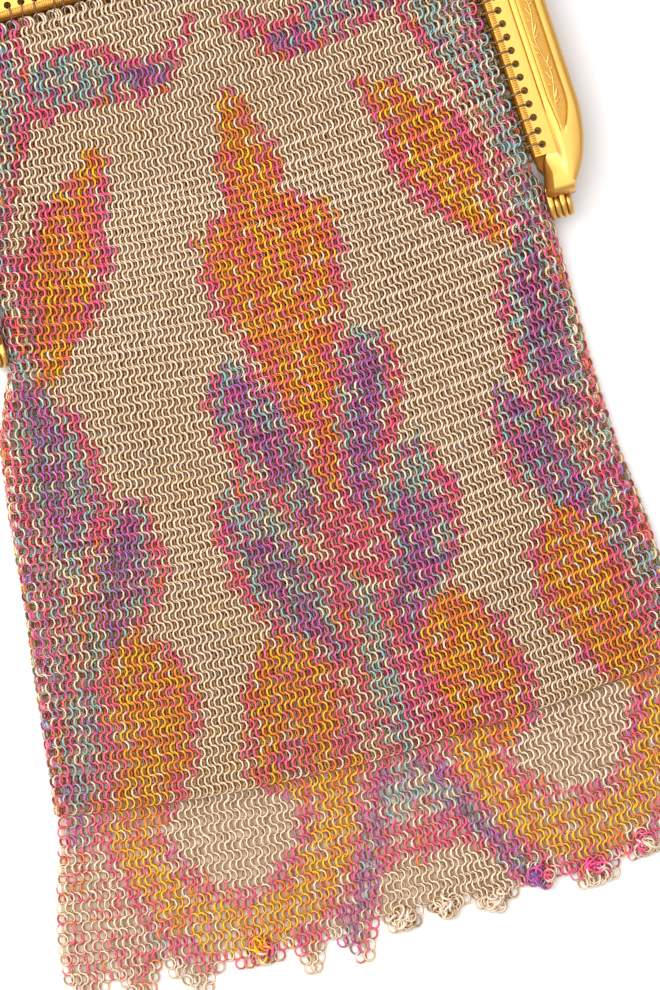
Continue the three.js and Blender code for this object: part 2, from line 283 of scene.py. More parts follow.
# %% [markdown]
# ## The lie of the mesh
# These few functions say where the mesh lies: how far it reaches to each side at a depth, how high its
# front layer stands, and how much the rows sag in the middle. They repeat the sizes of the solids.

# %% Outline of the mesh
MOUTH_WIDTH = 93.9
MOUTH_FLARE = 0.059
BAR_HEIGHT = 11.6
ARM_WIDTH = 10.6
ARM_LENGTH = 66.4
STRIP_END = 59.9
ARM_GAP = 2.1
HOLE_PITCH = 2.5
HINGE_INNER = 50.25
HINGE_DEPTH = 69.05
BARREL_END = 71.7
SEAM_DEPTH = 151.6
SEAM_SAG = 4.8
DRAPE_LENGTH = 34.0
SIDE_DRAPE = 20.0
SIDE_RELEASE = 36.0
LACED_HEIGHT = 8.8
REST_HEIGHT = 3.2
SHEET = 1.5
BAG_FALL = (ARM_LENGTH, BARREL_END, 83.7, 98.1, 112.4, 126.8, 141.2, SEAM_DEPTH)
BAG_LEFT = (49.95, 49.95, 55.2, 57.2, 58.4, 60.2, 61.8, 62.9)
BAG_RIGHT = (49.95, 49.95, 49.9, 50.1, 50.8, 52.5, 53.5, 54.3)
SKIRT_LENGTH = 28.6
SKIRT_FALL = (0.0, 3.7, 21.4, SKIRT_LENGTH)
SKIRT_LEFT = (63.4, 64.3, 69.1, 70.0)
SKIRT_RIGHT = (54.6, 55.4, 59.5, 61.5)


def smooth(value):
    value = np.clip(value, 0, 1)
    return value * value * (3 - 2 * value)


def mouth_half(depth):
    """Half the width between the frame's arms."""
    return MOUTH_WIDTH / 2 + (depth - BAR_HEIGHT) * MOUTH_FLARE


def bag_reach(depth, widths):
    """How far the bag reaches to one side of the axis."""
    laced = mouth_half(np.minimum(depth, STRIP_END)) - ARM_GAP
    turn = smooth((depth - STRIP_END) / (ARM_LENGTH - STRIP_END))
    upper = laced + (widths[0] - laced) * turn
    return np.where(depth < ARM_LENGTH, upper, np.interp(depth, BAG_FALL, widths))


def share_across(x, depth):
    """-1 at the left edge, 1 at the right edge."""
    left, right = bag_reach(depth, BAG_LEFT), bag_reach(depth, BAG_RIGHT)
    return (2 * x + left - right) / (left + right)


def sag(x, depth):
    """How much lower a row hangs at a place than at its two ends."""
    s = share_across(x, np.minimum(depth, SEAM_DEPTH))
    return SEAM_SAG * np.clip(1 - s * s, 0, 1) * smooth((depth - BAR_HEIGHT) / DRAPE_LENGTH)


def front_height(x, depth):
    """Height of the front layer's face above the ground."""
    drape = np.clip(1 - (depth - BAR_HEIGHT) / DRAPE_LENGTH, 0, 1)
    reach = np.where(x < 0, bag_reach(depth, BAG_LEFT), bag_reach(depth, BAG_RIGHT))
    release = smooth(1 - (depth - STRIP_END) / SIDE_RELEASE)
    side = np.clip(1 - (reach - np.abs(x)) / SIDE_DRAPE, 0, 1) * release
    return REST_HEIGHT + (LACED_HEIGHT - REST_HEIGHT) * np.maximum(drape, side) ** 2


def ripple(x, depth, seed, size):
    """Smooth unevenness between about -1 and 1, with waves of a few times a size."""
    total = 0.0
    for i, (a, b) in enumerate(((1.0, 0.35), (-0.62, 0.9), (0.28, -1.27), (1.45, 0.8))):
        total = total + np.sin((a * x + b * depth) / size + 2.4 * i + seed) / 2.6
    return total


print("bag reaches", bag_reach(np.array([20.0, 100.0, 150.0]), BAG_LEFT).round(1))

# %% [markdown]
# ## The print
# The pattern is a traditional one of soft flames, ovals and bands, like warp-dyed cloth, the same on both
# sides of the axis. Each motif is a short table: at some depths, how far its middle lies from the axis
# and how wide it is. A motif has a pink rim, a core, which starts at a share of that width, and some have
# a purple heart. The edges are ragged because the colours were printed on rings that moved.

# %% Colours and mixtures


def linear(red, green, blue):
    """A screen colour from 0 to 255, as the light that it stands for."""
    parts = [part / 255 for part in (red, green, blue)]
    return [part / 12.92 if part < 0.04 else ((part + 0.055) / 1.055) ** 2.4 for part in parts]


CREAM, PINK, MAGENTA, ORANGE, YELLOW, TEAL, PURPLE, DUSK = range(8)
PAINTS = np.array([
    linear(238, 219, 201),
    linear(250, 80, 140),
    linear(214, 74, 168),
    linear(255, 122, 56),
    linear(255, 188, 24),
    linear(136, 190, 200),
    linear(156, 90, 176),
    linear(92, 82, 132),
])
MIXTURES = {
    "cream": {CREAM: 1.0},
    "pink rim": {PINK: 0.6, CREAM: 0.26, ORANGE: 0.06, MAGENTA: 0.08},
    "flame": {YELLOW: 0.39, ORANGE: 0.3, PINK: 0.2, CREAM: 0.11},
    "gold": {YELLOW: 0.58, ORANGE: 0.16, PINK: 0.12, CREAM: 0.14},
    "ember": {ORANGE: 0.36, PINK: 0.38, YELLOW: 0.16, CREAM: 0.1},
    "purple": {PURPLE: 0.3, MAGENTA: 0.38, TEAL: 0.14, DUSK: 0.06, CREAM: 0.12},
    "teal": {TEAL: 0.42, PURPLE: 0.06, MAGENTA: 0.1, PINK: 0.08, CREAM: 0.34},
    "side": {CREAM: 0.36, PINK: 0.26, TEAL: 0.2, PURPLE: 0.08, MAGENTA: 0.1},
    "hem": {CREAM: 0.68, PINK: 0.26, ORANGE: 0.06},
}
MIXTURE_NAMES = list(MIXTURES)
print(len(PAINTS), "paints in", len(MIXTURES), "mixtures")

# %% Motifs
PURSE_LENGTH = 200
SPEAR = {
    "depth": (33.5, 37, 40, 44, 48, 54, 56, 58, 62, 66, 70, 74, 82, 90, 98, 104, 110),
    "middle": (0,) * 17,
    "half": (0, 2.2, 3.4, 4.8, 5.4, 5.2, 9.5, 12.2, 13.2, 13.2, 12.4, 11.2, 8.4, 5.6, 3.2, 1.8, 0),
    "core": 0.8,
    "inside": "ember",
}
FLAME = {
    "depth": (37, 40, 44, 48, 52, 56, 60, 64, 68, 72, 75),
    "middle": (22, 26.5, 29.5, 31.8, 32.8, 33.6, 35, 36.6, 38.2, 40, 41.5),
    "half": (0, 4.4, 6.4, 7.2, 8, 8.4, 7.8, 6.2, 4.4, 2.4, 0),
    "core": 0.6,
    "inside": "flame",
}
BAND = {
    "depth": (10, 20, 30, 38, 46, 54, 62, 70, 75),
    "middle": (36, 38, 40.5, 43, 45.5, 46.5, 47, 47, 46),
    "half": (6, 7, 7, 6, 4.5, 3.8, 3.4, 3.4, 3.4),
    "core": 0.7,
    "inside": "teal",
}
SIDE_LOBE = {
    "depth": (73, 77, 83, 90, 97, 103, 108),
    "middle": (45, 44.6, 44.2, 44, 43.8, 44, 45),
    "half": (2.6, 5.4, 7.4, 8, 7.2, 5.4, 3),
    "core": 0.7,
    "inside": "teal",
    "heart": 0.4,
    "heart_depths": (0, 104),
}
LOW_SIDE_LOBE = {
    "depth": (97, 101, 106, 112, 118, 124, 132, 140, 148, 155),
    "middle": (33.5, 34.6, 36.4, 38, 40.6, 44.4, 49.4, 52.4, 54, 56),
    "half": (0, 4.4, 6.8, 7.6, 7.2, 6.2, 4.6, 3.6, 3.2, 3),
    "core": 0.7,
    "inside": "teal",
    "heart": 0.5,
    "heart_depths": (0, 122),
}
LOBE = {
    "depth": (80, 83, 88, 94, 100, 106, 114),
    "middle": (12, 12, 11, 9.5, 7.5, 6, 4.5),
    "half": (0, 4.4, 6.8, 7.2, 6, 4.6, 2.4),
    "core": 0.67,
    "inside": "teal",
    "heart": 0.45,
    "heart_depths": (84, PURSE_LENGTH),
}
LOW_LOBE = {
    "depth": (101, 105, 110, 116, 122, 128, 134, 140),
    "middle": (16, 15, 14, 13, 12, 10, 7.5, 5),
    "half": (0, 4.8, 7, 7.8, 7.8, 6.6, 4.6, 2),
    "core": 0.7,
    "inside": "teal",
    "heart": 0.45,
    "heart_depths": (113, PURSE_LENGTH),
}
STEM = {
    "depth": (100, 106, 114, 124, 132, 142, 152, 162),
    "middle": (0,) * 8,
    "half": (1.2, 2.6, 3.8, 4.6, 5.4, 6, 4.6, 3.4),
    "core": 0.5,
    "inside": "teal",
}
OUTER_OVAL = {
    "depth": (121, 123.5, 128, 134, 140, 146, 151, 156),
    "middle": (38.5, 38.5, 38.5, 38.6, 39.2, 41.4, 44.6, 46.4),
    "half": (0, 5, 7.8, 8.6, 8.8, 8.2, 7, 6),
    "core": 0.72,
    "inside": "flame",
}
INNER_OVAL = {
    "depth": (130, 133, 138, 144, 150, 156, 161),
    "middle": (14.8, 14.8, 15, 15.6, 16.6, 17.6, 17.6),
    "half": (0, 5.4, 8.2, 9.6, 9.8, 7.6, 0),
    "core": 0.72,
    "inside": "flame",
}
SWAG = {
    "across": (3, 8, 12, 17, 24, 30, 38),
    "depth": (21.5, 26, 28.5, 26.5, 24, 22.5, 22),
    "half": (2, 3, 3.6, 5, 5.8, 5.8, 6),
}
SWAG_LAYERS = (
    {"share": 1.0, "beyond": 3, "mixture": "pink rim"},
    {"share": 0.5, "beyond": 9, "mixture": "purple"},
    {"share": 0.7, "beyond": 17, "mixture": "teal"},
)
SPEAR_FLAMES = (
    {"middle": 0, "slant": 0, "half": 2.8, "top": 35, "end": 96},
    {"middle": 9.4, "slant": 0.2, "half": 2.4, "top": 57, "end": 78},
)
SPEAR_LEVEL = 60
SIDE_FIELD = {"beyond": 47, "below": 74}
HEM_FIELD = {"beyond": 49, "below": 151}
STEM_TEAL_FROM = 124
BOWL_TOP = 149
BOWL_MIDDLE = (29.5, 152.0)
BOWL_REACH = (23.0, 33.0)
BOWL_LAYERS = ((1.05, "pink rim"), (0.93, "gold"), (0.66, "pink rim"), (0.56, "cream"))
CURL_MIDDLE = (17.5, 152.5)
CURL_REACH = 3.6
V_TOP = 156.0
V_START = 2.2
V_SPREAD = 0.5
V_HALF = 3.0
V_TEAL_END = 168
V_OPEN_FROM = 176
LEFT_STRETCH = 1.08
LEFT_DROP = 2.5


def strength(motif, x, depth):
    """0 in the middle of a motif, 1 at its edge and more outside it."""
    half = np.interp(depth, motif["depth"], motif["half"], left=0, right=0)
    middle = np.interp(depth, motif["depth"], motif["middle"])
    return np.where(half > 0.2, np.abs(x - middle) / np.maximum(half, 0.2), 9.0)


def print_zone(x, depth):
    """Which mixture of paints the print has at each place. What is laid later covers what is there."""
    ragged = 0.75 * ripple(x, depth, 0.4, 0.9) + 0.65 * ripple(x, depth, 2.2, 0.35)
    side = np.where(x < 0, -x / LEFT_STRETCH, x) + 0.8 * ragged
    down = depth + 0.9 * ripple(x, depth, 5.1, 0.8) - LEFT_DROP * smooth((-x - 20) / 15)
    zone = np.zeros(x.shape, int)

    def lay(where, name):
        zone[where] = MIXTURE_NAMES.index(name)

    def motif(table, across=side):
        near = strength(table, across, down)
        lay(near < 1.0, "pink rim")
        lay(near < table["core"], table["inside"])
        if "heart" in table:
            top, end = table["heart_depths"]
            lay((near < table["heart"]) & (down > top) & (down < end), "purple")

    lay((side > SIDE_FIELD["beyond"]) & (down > SIDE_FIELD["below"]), "side")
    lay((side > HEM_FIELD["beyond"]) & (down > HEM_FIELD["below"]), "hem")
    swag = np.abs(down - np.interp(side, SWAG["across"], SWAG["depth"]))
    swag = swag / np.interp(side, SWAG["across"], SWAG["half"])
    for row in SWAG_LAYERS:
        lay((swag < row["share"]) & (side > row["beyond"]), row["mixture"])
    for table in (BAND, SIDE_LOBE, LOW_SIDE_LOBE, FLAME, LOBE, LOW_LOBE):
        motif(table)
    stem = strength(STEM, x + 0.6 * ragged, down)
    lay(stem < 1, "pink rim")
    lay((stem < STEM["core"]) & (down > STEM_TEAL_FROM), STEM["inside"])
    motif(SPEAR, across=x + ragged)
    centre = np.abs(x + ragged)
    for row in SPEAR_FLAMES:
        off = np.abs(centre - row["middle"] + row["slant"] * (down - SPEAR_LEVEL))
        lay((off < row["half"]) & (down > row["top"]) & (down < row["end"]), "flame")
    over = np.maximum(down - BOWL_MIDDLE[1], 0) / BOWL_REACH[1]
    bowl = np.hypot((side - BOWL_MIDDLE[0]) / BOWL_REACH[0], over)
    for share, name in BOWL_LAYERS:
        lay((down > BOWL_TOP) & (bowl < share), name)
    arm = np.abs(x + 0.6 * ragged) - V_START - V_SPREAD * (down - V_TOP)
    lay((arm < V_HALF) & (down > V_TOP) & ((arm > -V_HALF - 0.4) | (down < V_OPEN_FROM)), "pink rim")
    lay((np.abs(arm) < V_HALF - 1) & (down > V_TOP + 3), "purple")
    lay((arm < -1.0) & (down > V_TOP) & (down < V_TEAL_END), "teal")
    for table in (OUTER_OVAL, INNER_OVAL):
        motif(table)
    curl = np.hypot(side - CURL_MIDDLE[0], down - CURL_MIDDLE[1]) / CURL_REACH
    lay(curl < 1, "pink rim")
    return zone


def paint_of(x, depth, pick):
    """The paint at each place. The number from 0 to 1 in pick chooses among a mixture's paints."""
    shares = np.zeros((len(MIXTURES), len(PAINTS)))
    for row, name in enumerate(MIXTURE_NAMES):
        for paint, share in MIXTURES[name].items():
            shares[row, paint] = share
    edges = np.cumsum(shares / shares.sum(1, keepdims=True), axis=1)
    zone = print_zone(x, depth)
    chosen = (pick[..., None] > edges[zone]).sum(-1)
    return PAINTS[np.minimum(chosen, len(PAINTS) - 1)]


print("motifs reach down to", max(STEM["depth"]), "mm")

# %% [markdown]
# ## One ring
# A ring is a torus: a small wire section is spun round an axis. Thousands of copies are needed, so the
# wire has only three sides and smooth shading makes it look round. One of the three corners points away
# from the bag, where the light falls on it.

# %% Ring template
RING_RADIUS = 1.06
WIRE_RADIUS = 0.225


def ring_template(steps, wire, faces_up=True):
    """Corners and faces of one ring that lies flat round the origin."""
    bm = bmesh.new()
    bmesh.ops.create_circle(bm, segments=3, radius=wire)
    turn = Matrix.Rotation(math.pi / 2, 4, "X") @ Matrix.Rotation(0 if faces_up else math.pi, 4, "Z")
    bmesh.ops.transform(bm, matrix=Matrix.Translation((RING_RADIUS, 0, 0)) @ turn, verts=bm.verts)
    bmesh.ops.spin(
        bm,
        geom=bm.verts[:] + bm.edges[:],
        cent=(0, 0, 0),
        axis=(0, 0, 1),
        angle=2 * math.pi,
        steps=steps,
        use_merge=True,
    )
    bmesh.ops.remove_doubles(bm, verts=bm.verts, dist=0.001)
    bmesh.ops.recalc_face_normals(bm, faces=bm.faces)
    bm.verts.index_update()
    corners = np.array([v.co for v in bm.verts])
    faces = np.array([[v.index for v in f.verts] for f in bm.faces])
    bm.free()
    return corners, faces


FRONT_RING = ring_template(9, WIRE_RADIUS)
BACK_RING = ring_template(6, 1.15 * WIRE_RADIUS, faces_up=False)
SKIRT_RING = ring_template(9, 1.1 * WIRE_RADIUS)
print("front ring", FRONT_RING[0].shape, FRONT_RING[1].shape, "back ring", BACK_RING[1].shape)

# %% [markdown]
# ## Four in one
# Each ring passes through two rings of the row above and two of the row below. That works when the rows
# lean by turns to the left and to the right, half a ring apart: at both crossings of two neighbours, the
# one that is on top changes. So the rings interlink. Where the rows are further apart, towards the seam,
# linked wires press into each other a little.

# %% Rows and columns of rings
rng = np.random.default_rng(20)
PITCH_DEPTHS = (12, 66, 110, 152, 184)
PITCH_LEFT = (1.045, 1.10, 1.17, 1.22, 1.33)
PITCH_RIGHT = (1.045, 1.08, 1.10, 1.12, 1.19)
ROW_DEPTHS = (12, 152, 184)
ROW_PITCH = (1.5, 1.7, 1.75)
LEAN = math.radians(34)
LEAN_PITCH = 1.1
LEAN_LEAST = math.radians(18)
LEAN_MOST = math.radians(40)
# Painted shade: the lower half of each ring is darkened and warmed by this much.
LOW_PAINTED_SHADE = np.array([0.66, 0.52, 0.42])
CREAM_LIGHT = 0.77
EDGE_ZONE = 9.0
EDGE_LOOSE = 0.1
BAG_MARGIN = 0.1
FIRST_ROW = 13.2
FOLD_START = STRIP_END + 1.2


def row_depths(first, last):
    """Depths of the rows, whose pitch grows down the bag."""
    depths = [first]
    while depths[-1] < last:
        depths.append(depths[-1] + np.interp(depths[-1], ROW_DEPTHS, ROW_PITCH))
    return depths[:-1]


def lattice(depths, left, right, edge):
    """Places of rings in rows at some depths, out to the left and right edges less a margin. Near the edges
    the columns are moved a little, so that each row ends at the edge."""
    found = []
    for k, depth in enumerate(depths):
        columns = np.arange(-70, 71) + 0.5 * (k % 2)
        pitch_left = np.interp(depth, PITCH_DEPTHS, PITCH_LEFT)
        pitch_right = np.interp(depth, PITCH_DEPTHS, PITCH_RIGHT)
        x = np.where(columns < 0, columns * pitch_left, columns * pitch_right)
        low, high = edge - left(depth), right(depth) - edge
        x = x[(x > low) & (x < high)]
        spare_low = x[0] - low - rng.uniform(0, EDGE_LOOSE)
        spare_high = high - x[-1] - rng.uniform(0, EDGE_LOOSE)
        near_low, near_high = 1 - smooth((x - low) / EDGE_ZONE), 1 - smooth((high - x) / EDGE_ZONE)
        x = x - spare_low * near_low + spare_high * near_high
        count = len(x)
        pitch = np.where(x < 0, pitch_left, pitch_right)
        found.append(np.stack([x, np.full(count, depth), np.full(count, k % 2), pitch], axis=1))
    return np.concatenate(found)


def fold_radius(depth, widths, side):
    """Radius of the fold at a side of the bag, from the height of the bag's edge."""
    edge = side * bag_reach(depth, widths)
    return (front_height(edge, depth) - SHEET) / 2


def wrapped_reach(depth, widths, side):
    """Reach of a layer if its fold is rolled out flat."""
    spare = (math.pi / 2 - 1) * fold_radius(depth, widths, side)
    return bag_reach(depth, widths) + np.where(depth > FOLD_START, spare - 0.2, 0.1)


def back_reach(depth, widths, side):
    """The back layer also reaches under the frame's strip, where the back half holds it."""
    return wrapped_reach(depth, widths, side) + 1.9 * smooth((FOLD_START - depth) / 1.5)


bag_rows = row_depths(FIRST_ROW, SEAM_DEPTH - 0.6)
back_rows = [bag_rows[0] - 2 * ROW_PITCH[0], bag_rows[0] - ROW_PITCH[0], *bag_rows]


def bag_layer(rows, reach):
    """The places of one layer's rings."""
    return lattice(rows, lambda d: reach(d, BAG_LEFT, -1), lambda d: reach(d, BAG_RIGHT, 1), BAG_MARGIN)


front_lattice = bag_layer(bag_rows, wrapped_reach)
back_lattice = bag_layer(back_rows, back_reach)
print(len(bag_rows), "rows,", len(front_lattice), "rings in front and", len(back_lattice), "at the back")

# %% Many equal forms in one mesh


def mesh_of_many(name, spots, faces, flip=False):
    """A mesh of many equal forms, from the corners of each and the faces of one."""
    count, each = spots.shape[:2]
    mesh = bpy.data.meshes.new(name)
    mesh.vertices.add(count * each)
    mesh.vertices.foreach_set("co", spots.ravel())
    faces = [face[::-1] if flip else face for face in faces]
    corners = np.concatenate(faces)
    sizes = np.array([len(face) for face in faces])
    starts = np.concatenate([[0], np.cumsum(sizes)[:-1]])
    shift = np.arange(count)[:, None]
    mesh.loops.add(count * len(corners))
    mesh.loops.foreach_set("vertex_index", (corners[None] + shift * each).ravel())
    mesh.polygons.add(count * len(faces))
    mesh.polygons.foreach_set("loop_start", (starts[None] + shift * len(corners)).ravel())
    mesh.update(calc_edges=True)
    mesh.shade_smooth()
    return mesh


def add_piece(name, mesh, material):
    """A piece from a mesh. It rides on the purse."""
    mesh.materials.append(material)
    piece = add_object(name, mesh)
    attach(piece, "root")
    print(name, len(mesh.polygons), "faces")
    return piece


def rotations(axis, angle):
    """A rotation matrix for each of many angles about X, Y or Z."""
    c, s = np.cos(angle), np.sin(angle)
    made = np.zeros((len(angle), 3, 3))
    i, j = [(1, 2), (2, 0), (0, 1)][axis]
    made[:, axis, axis] = 1
    made[:, i, i] = made[:, j, j] = c
    made[:, i, j] = -s
    made[:, j, i] = s
    return made


# %% Rings with their print
SECOND_PAINT = 0.41
PATCH_SHARE = 0.55
STRONG_COVER = 0.35
# Painted shade: how much darker the brass is beside strong colours.
STRONG_PAINTED_SHADE = 0.28
OUTWARD_COVER = 0.95
LIGHT_OF_COLOUR = (0.21, 0.72, 0.07)


def ring_paints(corners, middles, painted):
    """The paint on each corner of each ring. A part of a ring may have a second paint."""
    count, each = len(middles), len(corners)
    angle = np.arctan2(corners[:, 1], corners[:, 0])
    around = rng.uniform(-math.pi, math.pi, (count, 1))
    width = rng.uniform(-0.2, 1.0, (count, 1))
    second = np.cos(angle[None] - around) > width
    own = 0.5 + 0.5 * ripple(middles[:, 0], -middles[:, 1], 3.3, 0.6)
    pick = (PATCH_SHARE * own + rng.uniform(0, 0.62, count))[:, None] + np.where(second, SECOND_PAINT, 0.0)
    flat = np.broadcast_to(painted[:, None], (count, each, 2))
    paint = paint_of(flat[..., 0].ravel(), flat[..., 1].ravel(), (pick % 1.0).ravel())
    return paint.reshape(count, each, 3)


def joined_rings(name, template, middles, turns, painted, cover_side=0.36, outward=1.0):
    """One mesh of many rings, with its print and its cover of paint written on the corners. Strong colours
    reach further down the sides of the wire, and the brass beside them is painted darker, as shade. The
    lower half of each ring is painted darker and warmer, as shade."""
    corners, faces = template
    count, each = len(middles), len(corners)
    spots = np.einsum("nij,vj->nvi", turns, corners) + middles[:, None]
    mesh = mesh_of_many(name, place(spots[..., 0], -spots[..., 1], spots[..., 2]), faces)

    paint = ring_paints(corners, middles, painted)
    shade = rng.uniform(0.9, 1.0, (count, 1, 1))
    rise = np.einsum("nj,vj->nv", turns[:, 2], corners) * outward / (RING_RADIUS * math.sin(LEAN))
    raised = smooth((rise + 0.7) / 1.3)[..., None]
    light = paint @ LIGHT_OF_COLOUR
    strong = np.clip(1 - light.mean(1, keepdims=True) / CREAM_LIGHT, 0, 1)
    colours = np.ones((count, each, 4))
    # Painted shade: the brass is darker where the print's colours are strong.
    colours[..., 3] = 1 - STRONG_PAINTED_SHADE * strong
    # Painted shade: the lower half of each ring is darker and warmer.
    colours[..., :3] = paint * shade * (LOW_PAINTED_SHADE + (1 - LOW_PAINTED_SHADE) * raised)
    layer = mesh.attributes.new("print", "FLOAT_COLOR", "POINT")
    layer.data.foreach_set("color", colours.ravel())

    angle = np.arctan2(corners[:, 1], corners[:, 0])
    radial = np.stack([np.cos(angle), np.sin(angle), np.zeros(each)], axis=1)
    facing = (corners - RING_RADIUS * radial) / WIRE_RADIUS
    out = np.einsum("nij,vj->nvi", turns, facing)[..., 2] * outward
    cover = np.clip(cover_side + STRONG_COVER * strong + OUTWARD_COVER * out, 0, 1)
    layer = mesh.attributes.new("cover", "FLOAT", "POINT")
    layer.data.foreach_set("value", cover.ravel())
    return add_piece(name, mesh, RING_PAINT)


def lean_of(rows, pitch, jitter):
    """The lean of each ring: by turns left and right, less where the mesh is stretched wide."""
    lean = np.clip(LEAN - 0.9 * (pitch - LEAN_PITCH), LEAN_LEAST, LEAN_MOST)
    return np.where(rows > 0.5, -lean, lean) + rng.normal(0, jitter, len(rows))


print("lean", round(math.degrees(LEAN)), "degrees")

# %% [markdown]
# ## Bag
# The front layer hangs from the frame, falls to the back layer within a few centimetres and rests on it.
# The back layer lies on the ground. Below the hinges the sides are folds, where the rings stand on edge.

# %% Layers of the bag
ROW_WAVE = 0.28
SLOPE_SHARE = 0.35


def front_middle(x, depth):
    """Height of the middle of the front layer."""
    flat = front_height(x, depth) - SHEET / 2
    swell = 0.22 * ripple(x, depth, 1.0, 5.0) * smooth((flat - 1.2) / 1.5)
    return flat - np.abs(swell)


def back_middle(x, depth):
    """The back layer lies on the ground."""
    return np.full(np.shape(x), SHEET / 2)


def slope_turns(height, x, depth):
    """Turns that lay rings on a surface. Across the rows they follow its slope only in part, because the
    rings hang from each other."""
    step = 0.4
    along_x = (height(x + step, depth) - height(x - step, depth)) / (2 * step)
    along_y = (height(x, depth - step) - height(x, depth + step)) / (2 * step)
    return rotations(0, np.arctan(along_y)) @ rotations(1, -SLOPE_SHARE * np.arctan(along_x))


def layer_places(rings, height, way, seed):
    """Middles and turns of the rings of one layer of the bag. The way is 1 for the front, -1 for the back."""
    x, depth = rings[:, 0], rings[:, 1]
    side = np.sign(x)
    reach = np.where(x < 0, bag_reach(depth, BAG_LEFT), bag_reach(depth, BAG_RIGHT))
    radius = np.where(x < 0, fold_radius(depth, BAG_LEFT, -1), fold_radius(depth, BAG_RIGHT, 1))
    begin = reach - radius - 0.2
    roll = np.where(depth > FOLD_START, np.clip((np.abs(x) - begin) / radius, 0, math.pi / 2), 0)
    across = np.where(roll > 0, side * (begin + radius * np.sin(roll)), x)
    z = np.where(roll > 0, SHEET / 2 + radius + way * radius * np.cos(roll), height(across, depth))
    loose = smooth((depth - 14) / 12) * np.cos(roll)
    hung = depth + sag(across, depth) + ROW_WAVE * ripple(x, depth, seed, 6.0) * loose
    aside = across + 0.3 * ripple(x, depth, seed + 2, 9.0) * loose
    middles = np.stack([aside, -hung, z], axis=1) + rng.normal(0, 0.035, (len(x), 3))
    turns = slope_turns(height, across, depth)
    turns = np.where((roll > 0)[:, None, None], rotations(1, way * side * roll), turns)
    turns = turns @ rotations(2, rng.normal(0, 0.08, len(x)))
    turns = turns @ rotations(1, -lean_of(rings[:, 2], rings[:, 3], 0.07))
    turns = turns @ rotations(0, rng.normal(0, 0.07, len(x)))
    turns = turns @ rotations(2, rng.uniform(0, 2 * math.pi, len(x)))
    return middles, turns, np.stack([aside, hung], axis=1)


def layer_pieces(name, template, places_of, count, **finish):
    """A layer of rings, split so that no piece is too heavy."""
    pieces = []
    for i, part in enumerate(np.array_split(np.arange(len(places_of[0])), count)):
        piece_rings = [values[part] for values in places_of]
        pieces.append(joined_rings(f"{name}_{i + 1}", template, *piece_rings, **finish))
    return pieces


# %% Front and back
HELD_PULLS = (0.5, 0.2)
front_places = layer_places(front_lattice, front_middle, 1, 0.0)
for depth, share in zip(bag_rows, HELD_PULLS):
    held = front_lattice[:, 1] == depth
    hole = (np.round(front_places[0][held, 0] / HOLE_PITCH + 0.5) - 0.5) * HOLE_PITCH
    front_places[0][held, 0] += share * (hole - front_places[0][held, 0])
front_pieces = layer_pieces("mesh_front", FRONT_RING, front_places, 3)
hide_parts("mesh_bag")
back_places = layer_places(back_lattice, back_middle, -1, 4.0)
layer_pieces("mesh_back", BACK_RING, back_places, 2, cover_side=0.1, outward=-1.0)

# %% [markdown]
# ## Skirt
# Below the seam hangs a single layer, which ends in points. Some points have curled up on themselves
# into a small jumble of rings. The rows and columns go on from the bag's.

# %% Points of the hem
POINT_HEIGHT = 7.5
POINTS = {
    "across": (
        -0.947, -0.795, -0.634, -0.45, -0.319, -0.178, -0.058,
        0.069, 0.204, 0.338, 0.49, 0.634, 0.77, 0.91,
    ),
    "drop": (1, 0.95, 1, 0.33, 1, 0.98, 0.33, 0.29, 0.48, 0.27, 0.57, 0.3, 0.5, 0.9),
    "curled": (0, 0, 0, 1, 0, 0, 1, 1, 1, 1, 1, 1, 1, 0),
}
SKIRT_MARGIN = 1.2
HEM_MARGIN = 0.6
FIRST_SKIRT_ROW = 2.0


def skirt_reach(fall, widths):
    """How far the skirt reaches to one side of the axis, at a distance below the seam."""
    return np.interp(fall, SKIRT_FALL, widths)


def skirt_share(x, fall):
    """-1 at the skirt's left edge, 1 at its right edge."""
    left, right = skirt_reach(fall, SKIRT_LEFT), skirt_reach(fall, SKIRT_RIGHT)
    return (2 * x + left - right) / (left + right)


def hem_drop(x, fall):
    """How far the hem hangs below the valleys between its points."""
    s = skirt_share(x, SKIRT_LENGTH)
    tips = np.array(POINTS["across"])
    cuts = np.concatenate([[-1.0], (tips[1:] + tips[:-1]) / 2, [1.0]])
    at = np.clip(np.searchsorted(cuts, s) - 1, 0, len(tips) - 1)
    half = np.where(s < tips[at], tips[at] - cuts[at], cuts[at + 1] - tips[at])
    slope = np.clip(1 - np.abs(s - tips[at]) / half, 0, 1)
    curled = np.array(POINTS["curled"])[at]
    drop = np.array(POINTS["drop"])[at] * POINT_HEIGHT
    return np.where(curled, drop * np.clip(slope * 3, 0, 1), drop * slope)


skirt_rows = row_depths(bag_rows[-1] + FIRST_SKIRT_ROW, SEAM_DEPTH + SKIRT_LENGTH + POINT_HEIGHT + 1)
skirt_lattice = lattice(
    skirt_rows,
    lambda depth: skirt_reach(depth - SEAM_DEPTH, SKIRT_LEFT),
    lambda depth: skirt_reach(depth - SEAM_DEPTH, SKIRT_RIGHT),
    SKIRT_MARGIN,
)
fall = skirt_lattice[:, 1] - SEAM_DEPTH
skirt_lattice = skirt_lattice[fall < SKIRT_LENGTH + hem_drop(skirt_lattice[:, 0], fall) - HEM_MARGIN]
print(len(skirt_lattice), "rings in the skirt")

# %% Skirt rings
CURL_RINGS = 20
CURL_SPREAD = (1.9, 1.7)
CURL_RISE = 2.3
CURL_HEIGHTS = (1.1, 1.9)


def skirt_middle(x, depth):
    """The skirt lies on the ground, with its top row tucked under the bag's last rows."""
    lift = 0.5 * smooth(1 - (depth - SEAM_DEPTH) / 4)
    return SHEET / 2 + lift + 0.12 * np.abs(ripple(x, depth, 7.0, 3.0))


